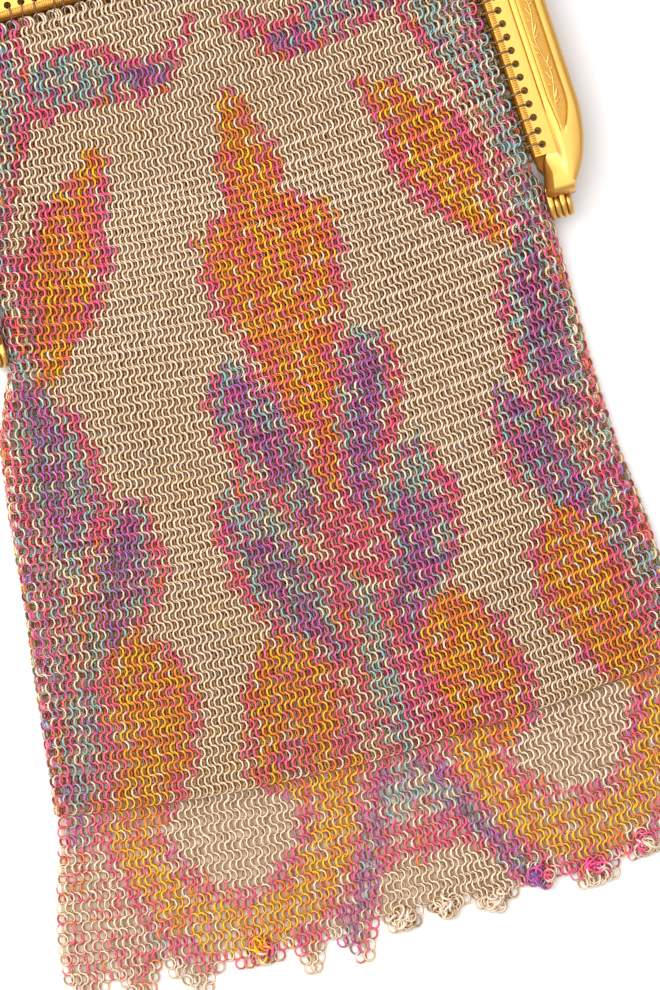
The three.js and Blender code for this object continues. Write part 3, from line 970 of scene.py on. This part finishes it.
def skirt_places(rings):
    """Middles, turns and print places of the rings that lie flat."""
    x, depth = rings[:, 0], rings[:, 1]
    s = skirt_share(x, depth - SEAM_DEPTH)
    hung = depth + SEAM_SAG * (1 - s * s) + 0.35 * ripple(x, depth, 8.0, 5.0)
    aside = x + 0.3 * ripple(x, depth, 9.0, 6.0)
    middles = np.stack([aside, -hung, skirt_middle(x, depth)], axis=1)
    middles += rng.normal(0, 0.07, middles.shape) * (1, 1, 0.5)
    turns = rotations(2, rng.normal(0, 0.12, len(x)))
    turns = turns @ rotations(1, -lean_of(rings[:, 2], rings[:, 3], 0.1))
    turns = turns @ rotations(0, rng.normal(0, 0.1, len(x)))
    turns = turns @ rotations(2, rng.uniform(0, 2 * math.pi, len(x)))
    return middles, turns, np.stack([aside, hung], axis=1)


def curled_places():
    """Jumbled rings heaped on each point that has curled up."""
    middles = []
    left, right = SKIRT_LEFT[-1], SKIRT_RIGHT[-1]
    for across, drop, curled in zip(*POINTS.values()):
        if not curled:
            continue
        x = (across * (left + right) + right - left) / 2
        tip = SEAM_DEPTH + SKIRT_LENGTH + SEAM_SAG * (1 - across * across) + drop * POINT_HEIGHT
        for _ in range(CURL_RINGS):
            angle, out = rng.uniform(0, 2 * math.pi), math.sqrt(rng.uniform(0, 1))
            dx = CURL_SPREAD[0] * out * math.cos(angle)
            dy = CURL_SPREAD[1] * out * math.sin(angle)
            middles.append((x + dx, -(tip - CURL_RISE + dy), rng.uniform(*CURL_HEIGHTS)))
    middles = np.array(middles)
    turns = rotations(2, rng.uniform(0, 6, len(middles))) @ rotations(1, rng.uniform(-1.2, 1.2, len(middles)))
    return middles, turns, middles[:, :2] * (1, -1)


hem_parts = [skirt_places(skirt_lattice), curled_places()]
skirt_piece = joined_rings("mesh_skirt_rings", SKIRT_RING, *map(np.concatenate, zip(*hem_parts)))
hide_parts("mesh_skirt")

# %% [markdown]
# ## Tinted ground and painted shade
# The picture's background is pure white, but through the single layer of the skirt the ground looks pale
# tan. So a tan patch of the floor lies just under the skirt, a little smaller than it. It belongs to the
# stage, not to the purse.
# The tan of the patch is partly painted shade, cast by the rings, and partly a ground a little darker than the
# white around it.

# %% Tinted ground and painted shade under the skirt
GROUND_INSET = 0.9
GROUND_UNDER_BAG = 2.0
GROUND_HEIGHT = 0.03
# Painted shade: these tans stand for the shade of the skirt's rings on the ground.
GROUND_SHADE_TANS = ((0.62, 0.50, 0.395), (0.76, 0.63, 0.51))


def ground_patch():
    """The tan patch of painted shade, whose lower edge follows the hem."""
    s, share = np.meshgrid(np.linspace(-1, 1, 361), np.linspace(0, 1, 8))
    middle = (SKIRT_RIGHT[-1] - SKIRT_LEFT[-1]) / 2 + s * (SKIRT_RIGHT[-1] + SKIRT_LEFT[-1]) / 2
    fall = share * (SKIRT_LENGTH + hem_drop(middle, SKIRT_LENGTH) - GROUND_INSET) - GROUND_UNDER_BAG
    left, right = (skirt_reach(fall, widths) - GROUND_INSET for widths in (SKIRT_LEFT, SKIRT_RIGHT))
    x = (right - left) / 2 + s * (right + left) / 2
    depth = SEAM_DEPTH + fall + SEAM_SAG * (1 - s * s)
    bm = bmesh.new()
    made = bmesh.ops.create_grid(bm, x_segments=s.shape[1] - 1, y_segments=s.shape[0] - 1, size=1)["verts"]
    for vert, spot in zip(made, place(x, depth, GROUND_HEIGHT).reshape(-1, 3)):
        vert.co = spot
    bmesh.ops.recalc_face_normals(bm, faces=bm.faces)
    mesh = mesh_of("ground_patch", bm)
    tan, shader = material_of("ground_painted_shade")
    plug(noise(start(tan), 70.0).mixed(*GROUND_SHADE_TANS), shader, "Base Color")
    shader.inputs["Roughness"].default_value = MATT
    mesh.materials.append(tan)
    add_object("ground_patch", mesh)
    print("ground patch", len(mesh.polygons), "faces")


ground_patch()

# %% [markdown]
# ## Gold for the frame
# The frame is stamped sheet with a thin gold-tone plate: pale where the light finds it, deeper orange in
# engraved lines, orange to dark brown as painted shade where it turns under, and faintly brushed. How
# engraved and how shaded in paint, and how hatched a surface is, is written on the mesh: up to 1 for
# orange and up to 2 for brown.

# %% Gold plate
HATCH_PITCH = 0.3 * MM
BUMP_HEIGHT = 0.08 * MM
GOLD_TONES = ((0.56, 0.31, 0.066), (0.69, 0.41, 0.112))
GOLD_ENGRAVING_AND_SHADE = (0.50, 0.21, 0.018)
GOLD_PAINTED_SHADE = (0.10, 0.035, 0.008)


def gold_material():
    """Clouded gold with engraved lines and painted shade, and with fine hatching where the mesh asks for it.
    """
    made, shader = material_of("gold_plate")
    places = start(made)
    engraved = attribute(places, "engraved")
    cloud = noise(places, 60.0, 3.0)
    brushed = noise(places, 4200.0, 1.0)
    # Up to 1 the gold turns orange: engraved lines, and painted shade in grooves and on faces that turn away.
    lined = engraved.clamped().mixed(cloud.mixed(*GOLD_TONES), GOLD_ENGRAVING_AND_SHADE)
    # Painted shade: above 1 the gold turns dark brown, where the frame turns under or faces into the bag.
    plug((engraved - 1.0).clamped().mixed(lined, GOLD_PAINTED_SHADE), shader, "Base Color")
    plug(0.24 + cloud * 0.14 + brushed * 0.1, shader, "Roughness")
    shader.inputs["Metallic"].default_value = 1.0
    split = places.node("ShaderNodeSeparateXYZ", None, {"Vector": places})
    along = Value(places.tree, split.outputs["Y"])
    relief = (along * (2 * math.pi / HATCH_PITCH)).sine() * attribute(places, "hatched") * 0.5 + brushed * 0.35
    sockets = {"Strength": 0.5, "Distance": BUMP_HEIGHT, "Height": relief}
    bump = places.node("ShaderNodeBump", None, sockets)
    plug(Value(places.tree, bump.outputs["Normal"]), shader, "Normal")
    return made


GOLD = gold_material()
print("gold has", len(GOLD.node_tree.nodes), "nodes")

# %% [markdown]
# ## Lines of the frame
# Each half of the frame is a stamped U. Everything on it follows two lines: the mouth's edge inside and
# the outer edge. A number t runs along both, from 0 in the middle of the bar over the corner, from 1 to 2,
# and down the arm to the foot at 3 and the hinge at 4. The left side mirrors the right one.

# %% Two lines and what lies between them
MOUTH_CORNER = 3.0
OUTER_CORNER = 11.0
TAPER_START = 51.9
TAPER_PULL = 0.62
FOOT_SHOULDER = 1.2
BARREL_LENGTH = 4.05
GROOVE = 4.2
BAND_TOP = 5.0
STRIP_TOP = 4.2
STRIP_UNDER = 3.3
PARTING = 0.15
RIM = 1.0
FOOT_FALLS = {"front": (0, 0.5, 1.6, 3.2), "back": (0, 2.2, 2.8, 3.4)}
FOOT_REACHES = {"front": (2.1, 1.7, 1.3, 1.0), "back": (0.1, 0.3, 0.8, 1.1)}


def outer_side(depth):
    """How far the frame's outer edge lies from the axis on the arms."""
    straight = mouth_half(np.minimum(depth, TAPER_START)) + ARM_WIDTH
    u = np.linspace(0, 1, 40)
    length = ARM_LENGTH - TAPER_START
    taper_depth = TAPER_START + 2 * u * (1 - u) * TAPER_PULL * length + u * u * length
    end = HINGE_INNER + BARREL_LENGTH + FOOT_SHOULDER
    return straight + np.interp(depth, taper_depth, u * u) * (end - straight)


def bent_line(top, radius, side, t):
    """Points of a line along the bar, round the corner and down the arm."""
    u = np.clip(t - 1, 0, 1)
    begin, turn, finish = side(top) - radius, side(top), side(top + radius)
    depth = top + radius * u * u + np.clip(t - 2, 0, 1) * (STRIP_END - top - radius)
    depth = depth + np.clip(t - 3, 0, 1) * (ARM_LENGTH - STRIP_END)
    corner = (1 - u) ** 2 * begin + 2 * u * (1 - u) * turn + u * u * finish
    x = np.where(t < 1, begin * t, np.where(t < 2, corner, side(depth)))
    return np.stack([x, depth], axis=-1)


def mouth_line(outward, t):
    return bent_line(BAR_HEIGHT - outward, MOUTH_CORNER + outward, lambda d: mouth_half(d) + outward, t)


def foot_ledge(depth, front):
    """How far the foot reaches inwards from the groove, in a hollow curve from the strip to the hinge.
    The back half's foot has a web there, which is painted dark as shade and shows under the end of the front's
    strip."""
    half = "front" if front else "back"
    strip = mouth_half(STRIP_END)
    falls = (*FOOT_FALLS[half], ARM_LENGTH - STRIP_END)
    edges = [strip + reach for reach in FOOT_REACHES[half]] + [HINGE_INNER]
    return mouth_half(depth) + GROOVE - np.interp(depth - STRIP_END, falls, edges)


print("frame is", round(2 * float(outer_side(TAPER_START)), 1), "mm wide")

# %% [markdown]
# ## Sheets along a line
# A swept form is a flat grid whose rows are moved to the cross-sections. Its seam is merged and its ends
# are filled, so the form is closed.

# %% Sweeping a section
JOINED = 1e-7


def swept(bm, sections):
    """Adds a form through cross-sections. A corner is x, depth and height in millimetres, and may go on
    with how engraved and painted in shade it is, and how hatched it is."""
    rows, around, size = sections.shape
    layers = [bm.verts.layers.float.new(name) for name in ("engraved", "hatched")[: size - 3]]
    made = bmesh.ops.create_grid(bm, x_segments=around - 1, y_segments=rows - 1, size=1)["verts"]
    flat = sections.reshape(-1, size)
    for vert, spot, marks in zip(made, place(flat[:, 0], flat[:, 1], flat[:, 2]), flat[:, 3:]):
        vert.co = spot
        for layer, mark in zip(layers, marks):
            vert[layer] = mark
    bmesh.ops.remove_doubles(bm, verts=made, dist=JOINED)
    bmesh.ops.holes_fill(bm, edges=[e for e in bm.edges if e.is_boundary], sides=0)


def finished(name, bm, smooth_angle=35):
    """Turns a bmesh into a gold piece, whose edges stay sharp above an angle."""
    bmesh.ops.recalc_face_normals(bm, faces=bm.faces)
    mesh = mesh_of(name, bm)
    mesh.shade_smooth()
    mesh.set_sharp_from_angle(angle=math.radians(smooth_angle))
    return add_piece(name, mesh, GOLD)


def both_sides(right):
    """Sections from the left hinge over the bar to the right hinge, from those of the right half."""
    left = right[:0:-1].copy()
    left[..., 0] *= -1
    return np.concatenate([left, right])


def half_height(z, front):
    """Height above the ground of a place on the front or the back half of the frame."""
    return MID_Z + z if front else MID_Z - z


print("front rim at", half_height(BAND_TOP, True), "mm, back rim at", half_height(BAND_TOP, False), "mm")

# %% [markdown]
# ## Band with its engraved panel
# The outer band is raised over the strip with the holes. On each arm of the front it carries a long
# pointed panel between two engraved lines. The columns of the grid follow these lines, so they stay crisp.

# %% Section of the band
PANEL_TOP = 15.0
PANEL_END = 56.9
PANEL_TIP = 6.0
PANEL_MIDDLE = 7.1
PANEL_HALF = 1.3
PANEL_COLUMNS = (0.12, 0.36, 0.64, 0.88)
PANEL_SUNK = 0.05
PANEL_TONE = 0.32
ENGRAVED_DEPTH = 0.15
LINE_WIDTH = 0.24
SLOPE_WIDTH = 1.5
FOOT_START = 2.983
BAND_UNDER = 4.0
# Painted shade on the band's undersides, which face into the bag.
FRONT_UNDER_SHADE = 0.4
BACK_UNDER_SHADE = 1.9
# The tables below give how far outwards or inwards a column lies, how far down, and how engraved it is.
# On the groove wall that number is engraving and painted shade, and on the rounded edge it is painted shade
# alone.
GROOVE_WALL = ((0.07, 0.4, 1.0), (0.22, 0.16, 0.7), (0.45, 0.05, 0.2), (0.8, 0.0, 0.0))
LINE_SECTION = ((3.0, 0.0, 0.0), (1.7, 0.0, 0.1), (1.0, 1.0, 0.9), (0.2, 0.4, 0.5))
ROUNDED_EDGE = ((1.0, 0.02, 0.0), (0.6, 0.1, 0.05), (0.28, 0.32, 0.2), (0.07, 0.7, 0.8), (0.0, 1.2, 1.3))


def panel_sides(depth):
    """Distances of the panel's left and right side from its middle line, and how deep its lines are."""
    up = np.clip((depth - PANEL_TOP) / PANEL_TIP, 0, 1)
    down = np.clip((depth - (PANEL_END - PANEL_TIP)) / PANEL_TIP, 0, 1)
    upper = PANEL_HALF * (2 * up - up * up)
    left = np.minimum(upper, PANEL_HALF * (1 - 0.5 * down))
    right = np.minimum(upper, PANEL_HALF * (1 - 1.5 * down * down))
    share = smooth(np.minimum(depth - PANEL_TOP, PANEL_END - depth) / 0.8)
    return -left, right, share


def band_section(t, front):
    """One cross-section of the band at each t, with how engraved and painted in shade it is, and how hatched
    it is.
    """
    inner = mouth_line(GROOVE, t)
    outer = bent_line(0.0, OUTER_CORNER, outer_side, t)
    depth = inner[:, 1]
    at_foot = t > FOOT_START
    ledge = np.where(at_foot, foot_ledge(depth, front), 0.0)
    left, right, share = panel_sides(depth)
    share = share * front
    foot = np.clip(t - 3, 0, 1)
    zero = np.zeros(len(t))
    columns = []

    def column(b, z, engraved=0.0, hatched=0.0, inwards=0.0):
        u = (b - GROOVE) / (ARM_WIDTH - GROOVE)
        spot = inner + (outer - inner) * np.broadcast_to(u, len(t))[:, None]
        spot[:, 0] -= inwards
        columns.append(np.column_stack([spot, z + zero, engraved + zero, hatched + zero]))

    # Down the foot the groove fades, its floor rises to the face, and the inner side turns into a facet.
    # Painted shade: the groove's floor and walls are orange, fading down the foot, and the foot's inner facet
    # turns orange too.
    rise = smooth(foot / 0.8)
    fade = smooth((t - 2.78) / 0.2)
    facet = smooth(foot * 1.6)
    level = STRIP_TOP - 0.08 * (foot < 0.02) + (BAND_TOP - STRIP_TOP) * rise
    line = 0.9 * (1 - 0.75 * fade) * (1 - smooth(foot / 0.3))
    column(GROOVE, level - 0.3 - 1.6 * facet, 0.9, inwards=ledge)
    column(GROOVE, level - 0.1 - 1.2 * facet, 0.5 + 0.3 * facet, inwards=ledge - 0.12 - 0.2 * facet)
    column(GROOVE, level - 0.06 * facet, 0.2 * facet, inwards=np.maximum(0.01, ledge - 0.3 - 1.2 * facet))
    column(GROOVE, level, line, inwards=np.minimum(0.005, ledge))
    for outwards, drop, deep in GROOVE_WALL:
        slope = (BAND_TOP - STRIP_TOP) * fade * (1 - outwards / SLOPE_WIDTH)
        column(GROOVE + outwards, BAND_TOP - np.maximum(drop * (1 - fade), slope) * (1 - rise), deep * line)
    for edge, way in ((left, -1), (right, 1)):
        if way > 0:
            for k in PANEL_COLUMNS:
                b = PANEL_MIDDLE + left + (right - left) * k
                column(b, BAND_TOP - PANEL_SUNK * share, PANEL_TONE * share, share)
        for wide, deep, engraved in LINE_SECTION[::-way]:
            b = PANEL_MIDDLE + edge + way * wide * LINE_WIDTH
            column(b, BAND_TOP - deep * ENGRAVED_DEPTH * share, engraved * share)
    # Painted shade: the rounded outer edge turns from gold to dark brown as it turns down, down to the rim at
    # the parting.
    for inwards, drop, engraved in ROUNDED_EDGE:
        column(ARM_WIDTH - inwards, BAND_TOP - drop, engraved)
    column(ARM_WIDTH, PARTING + 0.25, 1.3)
    column(ARM_WIDTH - 0.1, PARTING, 0.3)
    under = np.where(at_foot, PARTING, BAND_UNDER)
    # Painted shade on the undersides: orange on the front half, dark brown on the back half.
    under_shade = FRONT_UNDER_SHADE if front else BACK_UNDER_SHADE
    column(ARM_WIDTH - RIM, PARTING, 0.4)
    column(ARM_WIDTH - RIM - 0.02, under, under_shade)
    column(GROOVE, under, under_shade, inwards=ledge - 0.4)
    column(GROOVE, np.where(at_foot, PARTING + 0.2, BAND_UNDER - 0.3), under_shade, inwards=ledge)
    columns.append(columns[0])
    return np.stack(columns, axis=1)


print("band section has", band_section(np.array([2.5]), True).shape[1], "corners")

# %% Raised band
NOSE = ((0.2, 0.1), (0.6, 0.45), (0.95, 1.1), (1.15, 2.0))
NOSE_LOWEST = 2.2


def band(name, front):
    """The band of one half of the frame. Each foot ends in a rounded nose."""
    bar = np.linspace(0, 1, 16, endpoint=False)
    corner = np.linspace(1, 2, 12, endpoint=False)
    arm = np.linspace(2, 2.975, 76)
    foot = np.concatenate([[2.98, 2.985], np.linspace(3, 4, 14)])
    rows = band_section(np.concatenate([bar, corner, arm, foot]), front)
    height = rows[-1][:, 2]
    nose = []
    for further, drop in NOSE:
        nose.append(rows[-1].copy())
        nose[-1][:, 1] += further
        nose[-1][:, 2] = np.where(height > NOSE_LOWEST, np.maximum(height - drop, NOSE_LOWEST), height)
    rows = both_sides(np.concatenate([rows, nose]))
    rows[..., 2] = half_height(rows[..., 2], front)
    bm = bmesh.new()
    swept(bm, rows)
    return finished(name, bm)


front_band = band("frame_front_band", True)
back_band = band("frame_back_band", False)
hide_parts("frame_front")
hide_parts("frame_back")

# %% [markdown]
# ## Strip with lacing holes
# Inside the band lies a lower strip with a row of holes. Its inner edge is rolled over and finely ribbed.
# The holes are cut at once, by one Boolean with a mesh that joins all the drills.

# %% Lacing holes
HOLE_RADIUS = 0.675
HOLE_INSET = 2.05
BAR_HOLES = 38
ARM_HOLES = 19
LAST_HOLE = 58.0
DRILL_HEIGHT = 3.6
DRILL_LENGTH = 3.0


def hole_places():
    """Distance from the axis, depth and outward direction of each hole."""
    places = []
    for i in range(BAR_HOLES):
        places.append(((i - (BAR_HOLES - 1) / 2) * HOLE_PITCH, BAR_HEIGHT - HOLE_INSET, 0.0, -1.0))
    for i in range(ARM_HOLES):
        depth = LAST_HOLE - i * HOLE_PITCH
        for side in (-1, 1):
            places.append((side * (mouth_half(depth) + HOLE_INSET), depth, side, 0.0))
    return places


HOLES = hole_places()
print(len(HOLES), "holes in each strip")


def drills(front):
    """One object with a drill for every hole."""
    bm = bmesh.new()
    for x, depth, _, _ in HOLES:
        bmesh.ops.create_cone(
            bm,
            cap_ends=True,
            segments=16,
            radius1=HOLE_RADIUS * MM,
            radius2=HOLE_RADIUS * MM,
            depth=DRILL_LENGTH * MM,
            matrix=Matrix.Translation(place(x, depth, half_height(DRILL_HEIGHT, front))),
        )
    return add_object("drills", mesh_of("drills", bm))


# %% Strips
ROLL = 0.45
# Painted shade: the face under the ribs is orange, so that it reads dark between them.
STRIP_FACE = ((1.25, 0.4), (1.38, 0.1), (3.2, 0.0), (GROOVE + 0.3, 0.1))


def strip_section(t):
    """A thin plate with a rolled inner edge. It is painted orange to dark brown as shade underneath and where
    its edge turns under, and orange as shade between the ribs.
    """
    middle = (STRIP_TOP + STRIP_UNDER) / 2
    turns = np.linspace(0, math.pi, 7)
    under = [(GROOVE + 0.3, STRIP_UNDER, 0.6), (3.2, STRIP_UNDER, 0.6), (1.0, STRIP_UNDER, 0.9)]
    roll = [(ROLL - ROLL * math.sin(a), middle - ROLL * math.cos(a), 1.7 - 0.42 * a) for a in turns]
    over = [(b, STRIP_TOP, deep) for b, deep in STRIP_FACE]
    sections = [
        np.column_stack([mouth_line(b, t), np.full(len(t), z), np.full(len(t), deep), np.zeros(len(t))])
        for b, z, deep in (*under, *roll, *over, under[0])
    ]
    return np.stack(sections, axis=1)


def strip(name, front):
    """The strip of one half of the frame, with its holes cut."""
    bar, corner = np.linspace(0, 1, 24, endpoint=False), np.linspace(1, 2, 8, endpoint=False)
    rows = both_sides(strip_section(np.concatenate([bar, corner, np.linspace(2, 3, 30)])))
    rows[..., 2] = half_height(rows[..., 2], front)
    bm = bmesh.new()
    swept(bm, rows)
    piece = finished(name, bm)
    tool = drills(front)
    cut = piece.modifiers.new("holes", "BOOLEAN")
    cut.operation = "DIFFERENCE"
    cut.solver = "EXACT"
    cut.object = tool
    bpy.context.view_layer.update()
    cleaned = bpy.data.meshes.new_from_object(piece.evaluated_get(bpy.context.evaluated_depsgraph_get()))
    piece.modifiers.clear()
    piece.data = cleaned
    cleaned.name = name
    bpy.data.objects.remove(tool)
    cleaned.set_sharp_from_angle(angle=math.radians(40))
    print(name, "with its holes has", len(cleaned.polygons), "faces")


strip("frame_front_strip", True)
strip("frame_back_strip", False)

# %% [markdown]
# ## Ribs
# Hundreds of fine ribs run over the rolled edge, square to it. They are one small form, repeated along
# the mouth line at equal distances.

# %% Ribs on the rolled edge
RIB_PITCH = 0.4
RIB_WIDTH = 0.27
RIB_RAISED = 0.14
RIB_SUNK = 0.02
RIB_PROFILE = ((1.4, 4.16), (1.25, 4.32), (0.5, 4.34), (0.1, 4.14), (-0.08, 3.75))
RIBS_END = 2.99


def even_t(line, last, pitch):
    """Values of t at equal distances along a line."""
    fine = np.linspace(0, last, 4000)
    along = np.concatenate([[0], np.cumsum(np.hypot(*np.diff(line(fine), axis=0).T))])
    return np.interp(np.arange(pitch / 2, along[-1], pitch), along, fine)


def tube_faces(rows, around):
    """Faces of a tube with closed ends, whose corners come ring by ring."""
    faces = []
    for i in range(rows - 1):
        for j in range(around):
            a, b = i * around + j, i * around + (j + 1) % around
            faces.append([a, b, b + around, a + around])
    faces.append(list(range(around))[::-1])
    faces.append([(rows - 1) * around + j for j in range(around)])
    return faces


def ribs(name, front):
    """Ribs on the right and the left side of one half of the frame, each a tube with a crest."""
    t = even_t(lambda value: mouth_line(0.0, value), RIBS_END, RIB_PITCH)
    inner, outer = mouth_line(0.0, t), mouth_line(1.3, t)
    outward = (outer - inner) / np.linalg.norm(outer - inner, axis=1, keepdims=True)
    along = np.column_stack([outward[:, 1], -outward[:, 0]])
    corners = []
    for b, z in RIB_PROFILE:
        low, back = (RIB_RAISED, 0.0) if b > 0.3 else (RIB_SUNK, RIB_RAISED)
        for side in (-0.5, 0.0, 0.5):
            flat = inner + outward * (b + back * (side != 0)) + along * side * RIB_WIDTH
            corners.append(np.column_stack([flat, np.full(len(t), z - low * (side != 0))]))
    right = np.stack(corners, axis=1)
    faces = tube_faces(len(RIB_PROFILE), 3)
    for side, spots in (("right", right), ("left", right * (-1, 1, 1))):
        spots = place(spots[..., 0], spots[..., 1], half_height(spots[..., 2], front))
        mesh = mesh_of_many(name, spots, faces, flip=(side == "right") != front)
        add_piece(f"{name}_{side}", mesh, GOLD)


ribs("ribs_front", True)
ribs("ribs_back", False)

# %% [markdown]
# ## Vine
# A raised vine winds down each panel: a stem that swings from side to side, and small leaves by turns.

# %% Vine on the arms
VINE_TOP = 19.0
VINE_END = 53.5
VINE_SWING = 0.45
VINE_PERIOD = 12.0
VINE_RADIUS = 0.15
VINE_BURIED = 0.05
LEAF_LENGTH = 2.3
LEAF_WIDTH = 0.5
LEAF_HEIGHT = 0.24
LEAF_ASIDE = 0.42


def vine_line(depth):
    """The stem's distance from the axis."""
    phase = 2 * math.pi * (depth - VINE_TOP) / VINE_PERIOD
    return mouth_half(depth) + PANEL_MIDDLE + VINE_SWING * np.sin(phase) - 0.25 * smooth((depth - 50) / 4)


def vine(side):
    """The vine of one arm: 1 is the right arm, -1 the left one."""
    bm = bmesh.new()
    depth = np.linspace(VINE_TOP, VINE_END, 70)
    x = vine_line(depth)
    thick = VINE_RADIUS * np.minimum(1, np.minimum(depth - VINE_TOP, VINE_END - depth) / 1.5) + 0.02
    height = half_height(BAND_TOP - VINE_BURIED, True)
    sections = [
        np.column_stack([side * (x + thick * math.cos(a)), depth, height + 0.8 * thick * math.sin(a)])
        for a in np.linspace(0, 2 * math.pi, 7)
    ]
    swept(bm, np.stack(sections, axis=1))
    for i, depth in enumerate(np.arange(VINE_TOP + 0.8, VINE_END - 1.2, VINE_PERIOD / 8)):
        turn = 1 if i % 4 < 2 else -1
        curl, share = (1.0, 0.5) if i % 2 else (0.4, 1.0)
        leaf = bmesh.ops.create_uvsphere(bm, u_segments=8, v_segments=5, radius=0.5)["verts"]
        spot = place(side * (vine_line(depth) + turn * LEAF_ASIDE), depth, half_height(BAND_TOP - 0.03, True))
        matrix = Matrix.Translation(spot) @ Matrix.Rotation(-side * turn * curl, 4, "Z")
        size = Matrix.Diagonal((LEAF_WIDTH * MM, LEAF_LENGTH * share * MM, LEAF_HEIGHT * MM, 1))
        bmesh.ops.transform(bm, matrix=matrix @ size, verts=leaf)
    finished(f"vine_{'right' if side > 0 else 'left'}", bm, smooth_angle=60)


vine(1)
vine(-1)

# %% [markdown]
# ## Hinges
# Each foot ends in curled leaves, two from each half, side by side on one pin. A leaf is a flat strip
# with rounded sides that was rolled round the pin, so its section is spun round the pin's line.

# %% Curled leaves
BARREL_RADIUS = 2.35
LEAF_GAP = 0.3
LEAF_COUNT = 4
LEAF_THICK = 1.3
LEAF_SPREAD = 0.24
LEAF_ROUND = 0.22
LEAF_SQUARENESS = 0.8
TONGUE_IN_FOOT = 0.6


def leaf_on_pin(bm, side, slot, front):
    """Adds one curled leaf, with its tongue up to the foot."""
    width = (BARREL_LENGTH - (LEAF_COUNT - 1) * LEAF_GAP) / LEAF_COUNT
    middle = side * (HINGE_INNER + slot * (width + LEAF_GAP) + width / 2)
    pin = Vector(place(middle, HINGE_DEPTH, half_height(0.0, front)))
    width += LEAF_SPREAD
    leaf = bmesh.new()
    bmesh.ops.create_circle(leaf, segments=12, radius=0.5)
    for vert in leaf.verts:
        angle = math.atan2(vert.co.y, vert.co.x)
        square = max(abs(math.cos(angle)), abs(math.sin(angle))) ** -LEAF_SQUARENESS
        vert.co = Vector((vert.co.x * width * square, vert.co.y * LEAF_THICK * square, 0)) * MM
    radius = (BARREL_RADIUS - LEAF_THICK / 2) * MM
    bmesh.ops.translate(leaf, verts=leaf.verts, vec=(0, radius, 0))
    bmesh.ops.spin(
        leaf,
        geom=leaf.verts[:] + leaf.edges[:],
        cent=(0, 0, 0),
        axis=(1, 0, 0),
        angle=2 * math.pi,
        steps=28,
        use_merge=True,
    )
    tongue = bmesh.ops.create_cube(leaf, size=1.0)["verts"]
    reach = (HINGE_DEPTH - ARM_LENGTH + TONGUE_IN_FOOT) * MM
    size = Matrix.Diagonal((width * MM, reach, LEAF_THICK * MM, 1))
    up = radius if front else -radius
    bmesh.ops.transform(leaf, matrix=Matrix.Translation((0, reach / 2, up)) @ size, verts=tongue)
    edges = list({e for v in tongue for e in v.link_edges if abs(e.verts[0].co.y - e.verts[1].co.y) > 1e-4})
    bmesh.ops.bevel(
        leaf, geom=edges, offset=LEAF_ROUND * MM, segments=3, profile=0.5, affect="EDGES", material=-1
    )
    bmesh.ops.remove_doubles(leaf, verts=leaf.verts, dist=JOINED)
    bmesh.ops.translate(leaf, verts=leaf.verts, vec=pin)
    part = mesh_of("leaf", leaf)
    bm.from_mesh(part)
    bpy.data.meshes.remove(part)


for half, slots in (("front", (0, 2)), ("back", (1, 3))):
    bm = bmesh.new()
    for side in (-1, 1):
        for slot in slots:
            leaf_on_pin(bm, side, slot, half == "front")
    finished(f"hinge_leaves_{half}", bm, smooth_angle=50)

# %% [markdown]
# ## Lacing
# A thin dull wire leads from every hole over the ribbed edge into the first rings. It is a short tube
# along a curve, repeated at each hole with small differences.

# %% Lacing wires
LACE_RADIUS = 0.15
LACE_SIDES = 4
LACE_PATH = (
    (2.0, 3.6),
    (1.75, 4.1),
    (1.35, 4.48),
    (0.6, 4.52),
    (0.0, 4.42),
    (-0.6, 4.1),
    (-1.2, 3.6),
    (-1.7, 2.9),
)
BAR_SHARE = 0.85
LACE_TONES = ((0.09, 0.05, 0.02), (0.36, 0.24, 0.12))


def lace_material():
    """Thin wire that has gone brown."""
    made, shader = material_of("lacing_wire")
    plug(noise(start(made), 1500.0).mixed(*LACE_TONES), shader, "Base Color")
    shader.inputs["Metallic"].default_value = 0.7
    shader.inputs["Roughness"].default_value = 0.42
    return made


LACE = lace_material()


def lacing(name, front):
    """A wire at every hole of one half. It swings a little to one side on its way to the mesh."""
    holes = np.array(HOLES)
    outward = holes[:, 2:]
    along = np.column_stack([outward[:, 1], -outward[:, 0]])
    edge = holes[:, :2] - outward * HOLE_INSET
    wave = rng.normal(0, 0.3, (len(holes), 2))
    rows = []
    for i, (b, z) in enumerate(LACE_PATH):
        share = i / (len(LACE_PATH) - 1)
        aside = wave[:, :1] * math.sin(share * math.pi) + wave[:, 1:] * share * 1.6
        reach = b * np.where((outward[:, 1:] != 0) & (b < 0), BAR_SHARE, 1.0)
        middle = edge + outward * reach + along * aside
        flat_part, steep_part = (0.9, 0.3) if i < 2 else (0.0, 1.0)
        for k in range(LACE_SIDES):
            angle = 2 * math.pi * k / LACE_SIDES
            flat = middle + along * LACE_RADIUS * math.cos(angle)
            lean = outward * LACE_RADIUS * math.sin(angle) * flat_part
            height = z + LACE_RADIUS * math.sin(angle) * steep_part
            rows.append(np.column_stack([flat + lean, np.full(len(holes), height)]))
    spots = np.stack(rows, axis=1)
    spots = place(spots[..., 0], spots[..., 1], half_height(spots[..., 2], front))
    mesh = mesh_of_many(name, spots, tube_faces(len(LACE_PATH), LACE_SIDES), flip=not front)
    add_piece(name, mesh, LACE)


lacing("lacing_front", True)
lacing("lacing_back", False)

# %% [markdown]
# ## Pins and clasp
# The two hinge pins and the plain turned clasp already have the right shape, so they stay as they are and
# only get the frame's gold.

# %% Gold for the clasp and the pins
for name in ("clasp", "hinge_pin_left", "hinge_pin_right"):
    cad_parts[name].data.materials.clear()
    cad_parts[name].data.materials.append(GOLD)
print("gold on the clasp and the pins")
